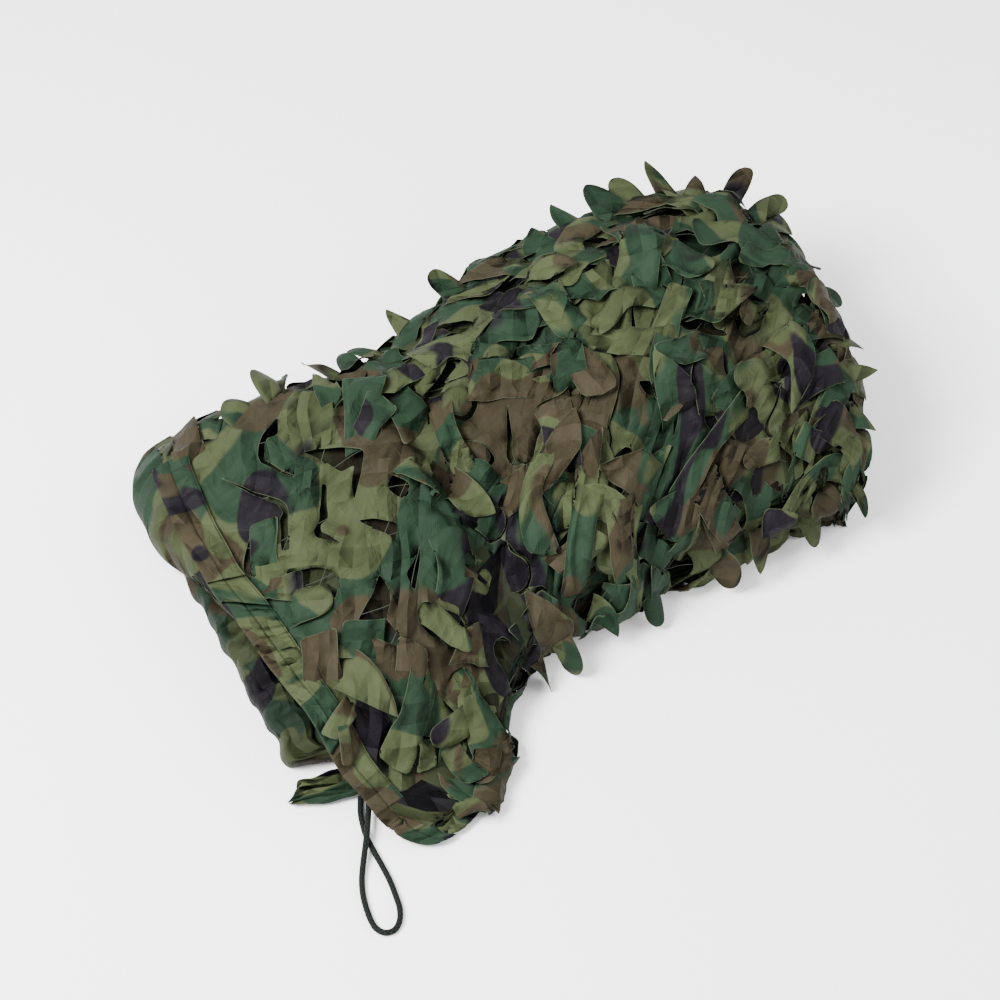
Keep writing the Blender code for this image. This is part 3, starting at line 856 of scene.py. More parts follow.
dome_turn = np.linspace(math.pi / 2.0, 0.0, 200)
dome_out, dome_sink = np.cos(dome_turn) ** DOME_POWER, np.sin(dome_turn) ** DOME_POWER
dome_out[0], dome_sink[-1] = 0.0, 0.0
end_height = lay(read_table(BULKY_END, 0.0), 0.0, SECTION_TOP)[..., 2]
dome_run = run_of(stacked(dome_out * RIGHT_FOLD_REACH, dome_sink * end_height))
even_run = np.arange(SKIN_STEP, dome_run[-1], SKIN_STEP)
share = np.arange(SKIN_A, BODY_LENGTH + SKIN_STEP / 2.0, SKIN_STEP) / BODY_LENGTH
row_share = np.concatenate((share, np.ones(len(even_run) + UNDER_ROWS)))[:, None]
row_out = np.concatenate((0.0 * share, RIGHT_FOLD_REACH * np.interp(even_run, dome_run, dome_out),
                          RIGHT_FOLD_REACH - np.linspace(0.0, UNDER_X, UNDER_ROWS)))[:, None]
row_level = np.concatenate((0.0 * share + 1.0, np.interp(even_run, dome_run, dome_sink),
                            np.zeros(UNDER_ROWS)))[:, None]

square = (1.0 - ease(row_share * BODY_LENGTH, SQUARE_UNTIL, SQUARE_FADE))[..., None]
sections = section(SECTION_POWER) + (section(SQUARE_POWER) - section(SECTION_POWER)) * square
section_v, section_w = sections[..., 0], sections[..., 1]
hem_x, end_x = read_table(TOP_HEM, section_v), read_table(BULKY_END, section_v)
section_points = lay(hem_x + (end_x - hem_x) * row_share + row_out, section_v, section_w * row_level)
skin_places = even_rows(section_points, section_v.shape[1] // 2)
skin_normals = outward(skin_places, INSIDE)
SKIN_LENGTH = SKIN_A + (len(row_share) - UNDER_ROWS) * SKIN_STEP
print("skin", skin_places.shape, "length", round(SKIN_LENGTH, 3))


# %% [markdown]
# The skin then goes inside the part's surface, so that the tops of the leaves come up to it.
# It goes deeper towards the bulky end and at the near foot. The far side of the hem lies
# outside instead, because its squarer fold stands up. Last, the near foot is rounded off,
# since its fold is sharper than the cloth lying over it can follow.


# %% Move the skin in
INSET_BODY, INSET_END, INSET_FOOT, OUTSET_HEM = 0.009, 0.007, 0.006, 0.008
FLOOR_LEVEL = 0.004
FOOT_SHARE, FOOT_ROUNDS = 0.7, 12


def inset(a, b):
    """How far the skin lies inside the part's surface: four amounts, each eased in over its stretch."""
    body, end = ease(a, 0.14, 0.10), ease(a, 0.42, 0.14)
    near_foot = ease(-b, 0.17, 0.06) * (1.0 - body) * (1.0 + 0.9 * ease(a, 0.045, 0.04))
    far_hem = ease(b, 0.10, 0.07) * (1.0 - ease(a, 0.10, 0.10))
    return INSET_BODY * body + INSET_END * end + INSET_FOOT * near_foot - OUTSET_HEM * far_hem


skin_a = SKIN_A + SKIN_STEP * np.arange(skin_places.shape[0])[:, None]
skin_b = -SKIN_B + SKIN_STEP * np.arange(skin_places.shape[1])[None, :]
skin_places = skin_places - skin_normals * inset(skin_a, skin_b)[..., None]
above_floor = skin_places[..., 2] > FLOOR_LEVEL
foot_low, foot_high = (side * np.where(rows.any(axis=1), SKIN_B - np.argmax(rows, axis=1) * SKIN_STEP, 0.0)
                       for side, rows in ((-1.0, above_floor), (1.0, above_floor[:, ::-1])))
foot_share = FOOT_SHARE * (ease(-skin_b, 0.20, 0.03) * ease(skin_a, 0.045, 0.03)
                           * (1.0 - ease(skin_a, 0.15, 0.05)))
skin_places = settled(skin_places, foot_share, FOOT_ROUNDS)
skin_normals = settled(skin_normals, foot_share, FOOT_ROUNDS)


def foot_limits(a):
    """Where the skin meets the surface, at lengths a: the lowest and highest b above it."""
    return np.interp(a, skin_a[:, 0], foot_low), np.interp(a, skin_a[:, 0], foot_high)


print("the feet at a = 0.1:", np.round(foot_limits(0.1), 3))


# %% [markdown]
# ## A tongue of cloth
#
# The stamped cuts free tongues that stay joined at one end, the hinge. Each one has a
# middle line that leaves the hinge along a heading, and a width that changes towards its
# tip: blunt, round or pointed. Lift and curl turn it out of the cloth. A few modelled leaves
# could be copied about, but on the real net no two lie alike. So each gets its own shape, and
# all tongues of a piece are worked out together, with one array for each property.


# %% Helpers: tongues as arrays
CROWDING = 1.5
WAIST_PLACE, WAIST_SPREAD, KINK_SPREAD = 0.42, 0.26, 0.13
GAP_OPENING = 6.0
MOST_PROUD, LOWEST = np.array([0.027, 0.023, 0.0135]), 0.0010
box_low, box_high = np.array(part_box("net_folded"))


def tongue_points(tongues, stations, across, lift=1.0, grow=0.0):
    """Points (tongue, station, across) in a, b and h, and their flat place and edge distance.

    The half-width is half the full width, times (1 - s^blunt)^(1/point), times a waist in
    the middle. The heading turns evenly by `bend`, and by `kink` at one place. The middle
    line adds up small steps of the heading, and of a pitch that starts at `lift` and grows
    by `curl`. Across it, points lie at half-widths, turned by `roll` and `twist`, and `cup`
    bends them out of the plane by the square of their distance. `slant` shears the tip, as
    an oblique cut does. Stations crowd towards the tip, where the outline turns.
    """
    t = {name: column[:, None] for name, column in tongues.items()}
    s = 1.0 - (1.0 - np.linspace(0.0, 1.0, stations)) ** CROWDING

    def heading_at(s):
        return t["heading"] + t["bend"] * (s - 0.5) + t["kink"] * 0.5 * np.tanh((s - 0.5) / KINK_SPREAD)

    def pitch_at(s):
        return (t["lift"] + t["curl"] * s) * lift

    between = (s[1:] + s[:-1]) / 2.0
    step = np.diff(s) * (t["length"] + grow)
    level_step = step * np.cos(pitch_at(between))
    steps = stacked(level_step * np.cos(heading_at(between)), level_step * np.sin(heading_at(between)),
                    step * np.sin(pitch_at(between)))
    line = np.concatenate((np.zeros((len(step), 1, 3)), np.cumsum(steps, axis=1)), axis=1)
    line = line + stacked(t["a"], t["b"], t["base"])

    half = 0.5 * t["width"] * np.clip(1.0 - s ** t["blunt"], 0.0, 1.0) ** (1.0 / t["point"])
    half = half * (1.0 - t["waist"] * bell(s - WAIST_PLACE, WAIST_SPREAD))
    half = (half + grow * np.minimum(1.0, GAP_OPENING * s))[..., None]
    e = np.linspace(-1.0, 1.0, across)
    reach = half * e
    roll = ((t["roll"] + t["twist"] * s) * lift)[..., None]
    cup = t["cup"][..., None] * reach**2 / (t["width"][..., None] * 0.5) * lift
    pitch, heading = pitch_at(s)[..., None], heading_at(s)[..., None]
    sheared = t["slant"][..., None] * reach * s[:, None] ** 2
    ahead, aside = sheared - cup * np.sin(pitch), reach * np.cos(roll)
    a = line[..., 0, None] - aside * np.sin(heading) + ahead * np.cos(heading)
    b = line[..., 1, None] + aside * np.cos(heading) + ahead * np.sin(heading)
    h = line[..., 2, None] + reach * np.sin(roll) + cup * np.cos(pitch)
    run = (s * t["length"])[..., None]
    edge = np.minimum(half * (1.0 - np.abs(e)), t["length"][..., None] - run)
    return a, b, h, stacked(run + sheared, reach), edge


def keep_in_box(points):
    """Ease points back where they would pass the bundle's box by more than loose cloth may."""
    low = np.append((box_low - MOST_PROUD)[:2], LOWEST)
    return np.maximum(np.minimum(points, box_high + MOST_PROUD), low)


print("leaves may pass the box by", MOST_PROUD * 1000, "mm")


# %% [markdown]
# ## The cut cloth over the body
#
# Here the cloth itself has holes, one under each tongue. A Boolean modifier could cut them,
# but it leaves ragged faces on a curved sheet. A flat pattern is the natural way: we list the
# cut lines on the flat cloth, join all its points with a Delaunay triangulation that keeps
# those lines, leave out the triangles inside the cuts, and lay the pattern on the skin with
# `on_skin`. The openings near the hem are placed one by one, as they lie in the folded net,
# and so are five further along.


# %% The openings, listed in millimetres along a and across b
OPENINGS = {
    "hook_far": [(42, 141), (56, 110), (69, 85), (70, 72), (62, 59), (52, 40), (46, 44), (52, 56),
                 (60, 70), (65, 72), (65, 84), (55, 107)],
    "hook_top": [(110, 150), (101, 136), (91, 141), (85, 137), (79, 127), (84, 110), (90, 91),
                 (81, 111), (75, 127), (76, 135), (81, 141), (92, 149)],
    "slit_s": [(105, 65), (108, 61), (100, 50), (92, 37), (84, 37), (81, 30), (88, 9), (79, 21),
               (75, 29), (76, 37), (86, 42), (96, 55)],
    "boomerang": [(109, 104), (124, 86), (148, 55), (149, 47), (138, 36), (121, 25), (126, 37),
                  (136, 46), (125, 56), (115, 85)],
    "moustache": [(39, 26), (49, 17), (61, 7), (68, -5), (69, -19), (58, -29), (59, -19), (54, -9),
                  (44, 2), (40, 14)],
    "triangle": [(31, 76), (18, 42), (15, 41), (12, 54)],
    "eye": [(99, -46), (99, -61), (94, -70), (84, -78), (85, -94), (89, -114), (75, -96), (64, -78),
            (64, -60), (82, -53)],
    "rounded": [(119, -96), (136, -116), (149, -130), (150, -141), (140, -146), (130, -144),
                (112, -119), (106, -99)],
    "dark": [(160, 12), (164, 0), (166, -11), (155, -14), (149, -1), (151, 7)],
    "low": [(39, -101), (50, -108), (60, -116), (58, -125), (50, -130), (44, -118)],
    "low_slot": [(101, -131), (76, -147), (62, -159), (60, -171), (75, -182), (64, -169), (66, -160),
                 (79, -150)],
    "low_dark": [(27, -164), (34, -168), (50, -188), (45, -191), (36, -180)],
    "low_edge": [(49, -191), (61, -194), (67, -197), (64, -207), (55, -202)],
    "middle_slit": [(114, 10), (129, -11), (139, -28), (129, -35), (124, -21)],
    "waist": [(176, -76), (190, -82), (192, -99), (180, -115), (165, -105), (160, -91)],
    "narrow": [(146, -60), (134, -74), (118, -83), (120, -68), (131, -66)],
    "eye_slit": [(445, -26), (464, -28), (478, -35), (484, -60), (468, -50), (451, -39)],
    "thread_hole": [(390, -61), (408, -71), (421, -86), (416, -109), (410, -125), (411, -106),
                    (402, -84), (394, -74)],
    "hook_low": [(278, -6), (265, -38), (261, -53), (281, -80), (259, -56), (256, -41)],
    "slit_middle": [(422, 21), (409, -14), (411, -28), (426, -54), (408, -34), (402, -19)],
    "slit_right": [(452, -85), (452, -104), (455, -131), (473, -158), (459, -148), (442, -128)],
}
OUTLINE_STEP, OUTLINE_EASE = 0.0025, 0.30


def smooth_outline(corners):
    """A closed curve through the corners, read at even steps."""
    corners = np.array(corners) / 1000.0
    fine = smooth_pieces(np.concatenate((corners[-1:], corners, corners[:2])), OUTLINE_EASE, 10)
    loop = np.concatenate((fine, fine[:1]))
    run = run_of(loop)
    even = np.linspace(0.0, run[-1], max(8, int(run[-1] / OUTLINE_STEP)), endpoint=False)
    return read_path(even, run, loop)


hand_outlines = [smooth_outline(corners) for corners in OPENINGS.values()]
print("openings placed by hand:", len(hand_outlines))


# %% [markdown]
# The rest of the cuts follow the stamp's staggered rows. They keep away from the listed
# ones. Some of their tongues have fallen back through the mesh, so that only the
# hole shows.


# %% Tongues in staggered rows
STAMP_ALONG, STAMP_ACROSS, STAMP_SHIFT = 0.058, 0.050, 0.009
STAMP_HEADINGS = (0.35, 3.5, 1.9, -1.2)
KEEP_AWAY = 0.030
FALLEN_SHARE = 0.55
UNCUT_PLACE, UNCUT_RADIUS = (0.597, 0.100), 0.035    # a cut here would leave only a thread of cloth


def loosened(a, b):
    """0 by the hem, where the cloth lies smooth, and 1 past the waist and on the near slope."""
    return np.maximum(ease(a, 0.11, 0.12), 0.75 * ease(-b, 0.13, 0.05) * ease(a, 0.05, 0.03))


def stamped_tongues(seed, away_from):
    """A staggered lattice of tongues, whose lift grows as the cloth is loosened."""
    rng = np.random.default_rng(seed)
    rows, columns = np.arange(0.055, SKIN_LENGTH, STAMP_ALONG), np.arange(-0.30, 0.30, STAMP_ACROSS)
    a, b = np.meshgrid(rows, columns, indexing="ij")
    b = b + (np.arange(len(rows)) % 2)[:, None] * STAMP_ACROSS / 2.0
    a = (a + rng.uniform(-STAMP_SHIFT, STAMP_SHIFT, a.shape)).ravel()
    b = (b + rng.uniform(-STAMP_SHIFT, STAMP_SHIFT, b.shape)).ravel()
    low, high = foot_limits(a)
    keep = (b > low - 0.005) & (b < high + 0.005)
    for outline in away_from:
        keep &= nearest_distance(stacked(a, b), outline) > KEEP_AWAY
    a, b = a[keep], b[keep]
    n = len(a)
    wild = loosened(a, b)
    heading = rng.choice(STAMP_HEADINGS, n) + rng.normal(0.0, 0.5, n)
    length = rng.uniform(0.034, 0.042, n) + 0.008 * wild
    width = rng.uniform(0.020, 0.028, n) + 0.006 * wild
    return {
        "a": a - 0.5 * length * np.cos(heading), "b": b - 0.5 * length * np.sin(heading),
        "base": np.full(n, 0.001), "heading": heading, "length": length, "width": width,
        "bend": rng.normal(0.0, 0.5, n), "blunt": rng.uniform(2.5, 9.0, n),
        "point": rng.uniform(1.5, 2.4, n), "waist": rng.uniform(0.0, 0.35, n),
        "lift": 0.05 + wild * rng.uniform(0.05, 0.45, n),
        "curl": rng.normal(0.05, 0.25, n) - wild * rng.uniform(0.2, 0.6, n),
        "twist": wild * rng.normal(0.0, 0.4, n), "roll": 0.08 * rng.normal(0.0, 1.0, n),
        "cup": rng.normal(0.0, 0.20, n), "kink": np.zeros(n), "slant": rng.normal(0.0, 0.35, n),
        "fallen": rng.uniform(0.0, 1.0, n) < FALLEN_SHARE * (0.3 + 0.7 * wild),
    }


stamped = stamped_tongues(21, hand_outlines)
middle_a = stamped["a"] + 0.5 * stamped["length"] * np.cos(stamped["heading"])
middle_b = stamped["b"] + 0.5 * stamped["length"] * np.sin(stamped["heading"])
cut_here = np.hypot(middle_a - UNCUT_PLACE[0], middle_b - UNCUT_PLACE[1]) > UNCUT_RADIUS
body_tongues = {name: column[cut_here] for name, column in stamped.items()}
print("stamped tongues:", len(middle_a[cut_here]), "fallen:", int(body_tongues["fallen"].sum()))


# %% [markdown]
# The flat pattern is laid at a height that rises and falls. Near the hem it lies almost
# flat, with a few straight creases where the thread mesh pulls. Past the waist the cloth is
# bunched, and it stands up in ridges.


# %% The sheet's height over the skin
PULLED_CREASES = [
    # start_a, start_b, end_a, end_b, height
    (0.066, -0.028, 0.135, -0.030, 0.0030),
    (0.074, -0.046, 0.181, -0.036, 0.0040),
    (0.041, 0.051, 0.139, 0.041, 0.0034),
    (0.064, -0.052, 0.141, -0.068, 0.0036),
    (0.060, 0.034, 0.130, 0.026, -0.0022),
    (0.137, 0.001, 0.174, 0.035, 0.0030),
    (0.131, -0.082, 0.205, -0.066, 0.0034),
    (0.082, -0.100, 0.157, -0.100, 0.0036),
    (0.062, 0.060, 0.100, 0.062, 0.0022),
    (0.070, 0.078, 0.125, 0.070, 0.0022),
    (0.080, 0.010, 0.118, 0.040, -0.0022),
    (0.030, 0.020, 0.070, 0.066, 0.0018),
    (0.100, -0.050, 0.150, -0.046, 0.0024),
    (0.045, -0.045, 0.080, -0.120, 0.0026),
    (0.040, 0.150, 0.095, 0.165, 0.0020),
]
PULL_WIDTH = 0.0035
WAIST_LINE = [
    # a,    b      where the bundle is nipped, and its cloth is drawn down into a valley
    (0.200, 0.030), (0.208, -0.033), (0.212, -0.078), (0.222, -0.123), (0.224, -0.160), (0.212, -0.200)]
WAIST_WIDTH, WAIST_DEPTH = 0.015, 0.40
FLAT_HEIGHT, LOOSE_HEIGHT, SMALL_HEIGHT, LEAST_HEIGHT = 0.0022, 0.0085, 0.0014, 0.0006


def waist_valley(a, b):
    """1 on the waist line and 0 away from it: a bell curve of the distance to its nearest piece."""
    return bell(np.min([near_line(a, b, *start, *end)[1]
                        for start, end in zip(WAIST_LINE[:-1], WAIST_LINE[1:])], axis=0), WAIST_WIDTH)


def sheet_height(a, b):
    """Waves, higher past the waist, with their crests sharpened, plus the pulled creases.

    A crease's height is a bell curve across it, times half a sine along it.
    """
    loose = loosened(a, b)
    big, small = waves(a, b, 0.085, 41), waves(a, b, 0.034, 42)
    height = FLAT_HEIGHT * (1.0 + 0.5 * small)
    height = height + loose * (LOOSE_HEIGHT * (1.0 - 0.9 * np.abs(big)) + SMALL_HEIGHT * small)
    for *line, rise in PULLED_CREASES:
        t, off = near_line(a, b, *line)
        height = height + rise * bell(off, PULL_WIDTH) * np.sin(math.pi * np.clip(t, 0.06, 0.94))
    return np.maximum(height, LEAST_HEIGHT) * (1.0 - WAIST_DEPTH * waist_valley(a, b))


print("the sheet's height at the crest, mm:", np.round(sheet_height(0.3, 0.0) * 1000, 1))


# %% [markdown]
# A triangulation joins the points of the cut lines and an even grid of points between them.
# The grid's rows are shifted in turn and shaken a little, so that no direction shows. The
# pattern ends under the upper tape, whose line over the skin is listed here.


# %% Helpers: cut a flat pattern and triangulate it
PATTERN_STEP, PATTERN_SHAKE = 0.0055, 0.0008
LONGEST_SIDE, NEAREST_TO_CUT = 3.0, 0.55
PATTERN_B, PATTERN_MARGIN = 0.36, 0.014
TAPE_LINE = np.array([
    # b,    outer_a, inner_a
    (-0.262, -0.004, 0.010), (-0.246, -0.008, 0.014), (-0.230, -0.009, 0.020), (-0.205, -0.006, 0.024),
    (-0.180, -0.005, 0.021), (-0.155, -0.009, 0.018), (-0.130, -0.010, 0.017), (-0.103, -0.011, 0.014),
    (-0.070, -0.014, 0.012), (-0.030, -0.016, 0.012), (0.010, -0.016, 0.012), (0.050, -0.018, 0.010),
    (0.080, -0.016, 0.013), (0.110, -0.014, 0.016), (0.135, -0.012, 0.020), (0.170, -0.009, 0.026),
    (0.205, -0.008, 0.031), (0.240, -0.008, 0.030),
])
UNDER_TAPE = 0.008


def tongue_outlines(t, gap):
    """The closed cut line of each tongue: up one side and down the other, a gap outside it."""
    a, b, _, _, _ = tongue_points(t, 9, 3, lift=0.0, grow=gap)
    both = stacked(a, b)
    return list(np.concatenate((both[:, :, 0], both[:, ::-1, 2]), axis=1))


def turned_left(outline):
    """The outline in anticlockwise order, by the sign of its area."""
    after = np.roll(outline, -1, axis=0)
    area = np.sum(outline[:, 0] * after[:, 1] - after[:, 0] * outline[:, 1])
    return outline if area > 0.0 else outline[::-1]


def cut_pattern(a_span, holes, seed):
    """Flat points and triangles of the cloth, without the triangles inside the holes."""
    rng = np.random.default_rng(seed)
    holes = [turned_left(hole) for hole in holes]
    rows = np.arange(a_span[0], a_span[1], PATTERN_STEP * 0.87)
    a, b = np.meshgrid(rows, np.arange(-PATTERN_B, PATTERN_B, PATTERN_STEP), indexing="ij")
    b = b + (np.arange(len(rows)) % 2)[:, None] * PATTERN_STEP / 2.0
    grid = np.stack((a.ravel(), b.ravel()), axis=-1)
    grid = grid + rng.uniform(-PATTERN_SHAKE, PATTERN_SHAKE, (a.size, 2))
    low, high = foot_limits(grid[:, 0])
    grid = grid[(grid[:, 1] > low - PATTERN_MARGIN) & (grid[:, 1] < high + PATTERN_MARGIN)]
    grid = grid[grid[:, 0] > read_table(TAPE_LINE, grid[:, 1]) + UNDER_TAPE]
    lines = np.concatenate(holes)
    grid = grid[nearest_distance(grid, lines) > PATTERN_STEP * NEAREST_TO_CUT]
    places = [Vector(place) for place in np.concatenate((lines, grid))]
    ends = np.cumsum([len(hole) for hole in holes])
    loops = [list(range(end - len(hole), end)) for hole, end in zip(holes, ends)]
    flat, _, faces, _, _, sources = delaunay_2d_cdt(places, [], loops, 0, 1e-6, True)
    flat = np.array(flat)
    faces = np.array([face for face, source in zip(faces, sources) if not source])
    corners = flat[faces]
    sides = np.linalg.norm(corners - np.roll(corners, 1, axis=1), axis=2)
    return flat, faces[sides.max(axis=1) < PATTERN_STEP * LONGEST_SIDE], nearest_distance(flat, lines)


print("pattern step", PATTERN_STEP * 1000, "mm")


# %% [markdown]
# The cut sheet is laid on the skin at its own height. A Solidify modifier gives it two sides
# and a cut edge. It carries one run of the print. Its colour is dimmed a little by the hem,
# and further, as painted shade, where leaves will cover it.


# %% The cut cloth over the body
CLOTH_THICKNESS = 0.0005
PRINT_START = np.array([3.1, 4.4])
CUT_GAP = 0.0012
SHEET_START = -0.012
TAPE_PRESS, PRESS_START, PRESS_FADE = 0.30, 0.004, 0.012
# Painted shade on the sheet: its colour is dimmed to SHADE_HEM by the hem, and to SHADE_LOW where leaves
# cover it.
SHADE_HEM, SHADE_LOW = 0.94, 0.86    # by the hem, and where leaves shade the cloth


def first_height(a, b):
    """Height of the cut sheet that shows. Under the upper tape only a share of it is left."""
    free = ease(a, read_table(TAPE_LINE, b, 2) - PRESS_START, PRESS_FADE)
    return (TAPE_PRESS + (1.0 - TAPE_PRESS) * free) * sheet_height(a, b)


sheet_holes = hand_outlines + tongue_outlines(body_tongues, CUT_GAP)
flat, faces, edge = cut_pattern((SHEET_START, SKIN_LENGTH), sheet_holes, 31)
sheet_points = keep_in_box(on_skin(*flat.T, first_height(*flat.T)))
sheet = make_piece("leaf_cloth_sheet", sheet_points, flat + PRINT_START, leaf_cloth,
                   faces, edge, SHADE_HEM - (SHADE_HEM - SHADE_LOW) * loosened(*flat.T), CLOTH_THICKNESS)


# %% [markdown]
# ## The thread mesh
#
# The cloth is sewn to a wide mesh of thin thread, which shows in the openings. Its lines
# run slantwise both ways over the skin, just under the cloth. A Wireframe modifier could
# make them, but the threads need their own even spacing. So each is a tube with four sides,
# which is enough for a thread that is under a millimetre thick.


# %% Threads
THREAD_SPACING, THREAD_RADIUS, THREAD_SLOPE = 0.052, 0.0004, 0.55
THREAD_POINTS, THREAD_SIDES, FEWEST_POINTS = 150, 4, 8
THREAD_HEIGHT, THREAD_WANDER, THREAD_MARGIN = 0.55, 0.006, 0.020
THREAD_COLOUR, THREAD_ROUGHNESS, THREAD_GLOSS = (0.030, 0.036, 0.026, 1.0), 0.8, 0.1


def thread_lines(slope):
    """Places (line, point) of slanted lines over the skin, and whether the skin shows there."""
    start = np.arange(-0.60, 0.61, THREAD_SPACING)[:, None]
    a = np.linspace(0.012, SKIN_LENGTH - 0.02, THREAD_POINTS)[None, :] + 0.0 * start
    b = start + slope * (a - 0.3) + THREAD_WANDER * waves(a, start, 0.12, 47)
    low, high = foot_limits(a)
    return a, b, (b > low + THREAD_MARGIN) & (b < high - THREAD_MARGIN)


thread_material, thread_tree, thread_shader = new_material("mesh_thread", THREAD_ROUGHNESS, THREAD_GLOSS)
put(thread_tree, thread_shader.inputs["Base Color"], THREAD_COLOUR)
thread_points, thread_quads, used = [], [], 0
for slope in (THREAD_SLOPE, -THREAD_SLOPE):
    for line_a, line_b, shown in zip(*thread_lines(slope)):
        if shown.sum() < FEWEST_POINTS:
            continue
        line_a, line_b = line_a[shown], line_b[shown]
        middle = on_skin(line_a, line_b, THREAD_HEIGHT * first_height(line_a, line_b))
        thread_points.append(tube(middle, THREAD_RADIUS, THREAD_SIDES).reshape(-1, 3))
        thread_quads.append(grid_quads((len(middle), THREAD_SIDES), closed=True) + used)
        used += len(middle) * THREAD_SIDES
thread_points = np.concatenate(thread_points)
threads = make_piece("thread_mesh", keep_in_box(thread_points), thread_points[:, :2], thread_material,
                     np.concatenate(thread_quads))


# %% [markdown]
# ## Laying leaves on a pile
#
# Leaves that are simply scattered cut through each other. Real ones lie on what is already
# there. So we keep a height map of the skin, and lay the leaves one after another: each
# reads the heights below it, spreads them a little as stiff cloth does, lies on top with
# its own arch, and then raises the map. Its hinge end is tucked down between the leaves
# under it.


# %% Helpers: the pile's map
PILE_STEP = 0.003
pile_rows, pile_columns = int(0.86 / PILE_STEP), int(2 * SKIN_B / PILE_STEP) + 1
pile = first_height(*np.meshgrid(np.arange(pile_rows) * PILE_STEP,
                                 np.arange(pile_columns) * PILE_STEP - SKIN_B, indexing="ij"))


def pile_cells(a, b, margin=0):
    """The pile's rows and columns nearest to the places a, b, kept a margin inside the map."""
    return (np.clip(np.rint(a / PILE_STEP).astype(int), margin, pile_rows - 1 - margin),
            np.clip(np.rint((b + SKIN_B) / PILE_STEP).astype(int), margin, pile_columns - 1 - margin))


def resample(count_in, count_out):
    """A matrix that reads count_in even samples at count_out even places, by straight lines."""
    place = np.linspace(0.0, count_in - 1.0, count_out)
    return np.array([np.interp(place, np.arange(count_in), one) for one in np.eye(count_in)]).T


def spread(heights):
    """What cloth makes of the heights under it: it rests on the high ones and spans the hollows."""
    framed = heights
    for _ in range(2):
        framed = np.pad(framed, 1, mode="edge")
        rows, columns = heights.shape
        framed = np.mean([framed[i:i + rows, j:j + columns] for i in range(3) for j in range(3)], axis=0)
    return np.maximum(heights, framed)


print("pile cells:", pile.shape)


# %% [markdown]
# A leaf reads the map at its own few points, but raises it at finer ones, so that the next
# leaf finds no gaps between them. The higher the pile, the flatter a leaf is pressed.


# %% Helpers: lay leaves on the pile
LEAF_STATIONS, LEAF_ACROSS, LEAF_AIR, LEAF_RIPPLE = 14, 6, 0.0009, 0.0009
FINE_STATIONS, FINE_ACROSS = 34, 15
PILE_LIMIT, LEAST_ROOM, PILE_TOP, LEAST_LEAF = 0.021, 0.15, 0.034, 0.0008
TUCK_DEPTH, TUCK_SHARE, TUCK_POWER = 0.011, 0.24, 1.5


def pile_up(t, tuck_tip, fullness):
    """Heights of the tongues t, laid in order on the pile, which is raised by each in turn.

    fullness says how much of its own arch each keeps. Deep in the pile it is pressed flat,
    and so is a leaf that lies high on the pile, because the folded bundle holds it down.
    """
    a, b, arch, flat, edge = tongue_points(t, LEAF_STATIONS, LEAF_ACROSS)
    s = np.linspace(0.0, 1.0, LEAF_STATIONS)[:, None]
    hinge_dip, tip_dip = (TUCK_DEPTH * np.clip(1.0 - place / TUCK_SHARE, 0.0, 1.0) ** TUCK_POWER
                          for place in (s, 1.0 - s))
    fine_s, fine_e = resample(LEAF_STATIONS, FINE_STATIONS), resample(LEAF_ACROSS, FINE_ACROSS).T
    h = np.zeros_like(a)
    for k in range(len(a)):
        i, j = pile_cells(a[k], b[k], margin=1)
        below = np.max([pile[i + di, j + dj] for di in (-1, 0, 1) for dj in (-1, 0, 1)], axis=0)
        room = min(1.0, max(LEAST_ROOM, 1.0 - below.mean() / PILE_LIMIT))
        top = spread(below) + LEAF_AIR + fullness[k] * room * np.maximum(arch[k], 0.0)
        h[k] = top - hinge_dip - (tip_dip if tuck_tip[k] else 0.0)
        fine_a, fine_b, fine_h = (fine_s @ values[k] @ fine_e for values in (a, b, h))
        np.maximum.at(pile, pile_cells(fine_a, fine_b), fine_h)
    return a, b, h, flat, edge


def lay_leaves(name, t, leaf_print, seed, shade, fullness, tuck_tip=None):
    """Lay leaves on the pile and make them one piece. Each has its own part of the print."""
    tuck_tip = np.zeros(len(t["a"]), dtype=bool) if tuck_tip is None else tuck_tip
    a, b, h, flat, edge = pile_up(t, tuck_tip, fullness)
    h = h + LEAF_RIPPLE * waves(a, b, 0.032, seed)
    h = PILE_TOP * np.tanh(np.maximum(h, LEAST_LEAF) / PILE_TOP) * (1.0 - WAIST_DEPTH * waist_valley(a, b))
    turn, shift = leaf_print[:, 0, None, None], leaf_print[:, None, None, 1:]
    uv = shift + stacked(flat[..., 0] * np.cos(turn) - flat[..., 1] * np.sin(turn),
                         flat[..., 0] * np.sin(turn) + flat[..., 1] * np.cos(turn))
    return make_piece(name, keep_in_box(on_skin(a, b, h)), uv, leaf_cloth,
                      cut_edge=edge, shade=shade[:, None, None], thickness=CLOTH_THICKNESS)


print("points in a leaf:", LEAF_STATIONS * LEAF_ACROSS)


# %% [markdown]
# The tongues of the sheet come first, since they lie lowest. Each carries on the sheet's
# own print, because it was cut out of it. Past the waist, where others will cover it, each is
# flatter, and painted shade makes it darker.


# %% The tongues of the cut sheet
up_tongues = {name: column[~body_tongues["fallen"]] for name, column in body_tongues.items()}
up_shifts = (up_tongues[way] + start for way, start in zip("ab", PRINT_START))
up_print = stacked(up_tongues["heading"], *up_shifts)
tongue_loose = loosened(up_tongues["a"], up_tongues["b"])
# Painted shade: tongues past the waist are darker, since others will cover them.
tongues_piece = lay_leaves("sheet_tongues", up_tongues, up_print, 43, 1.0 - 0.25 * tongue_loose,
                           1.0 - 0.4 * tongue_loose)


# %% [markdown]
# Past the waist the plies are bunched together, so leaves from many of them crowd over each
# other. A few families of shape cover what the stamp gives: round and square tongues,
# pointed leaves, straps whose two ends are both hidden, and folded ones.


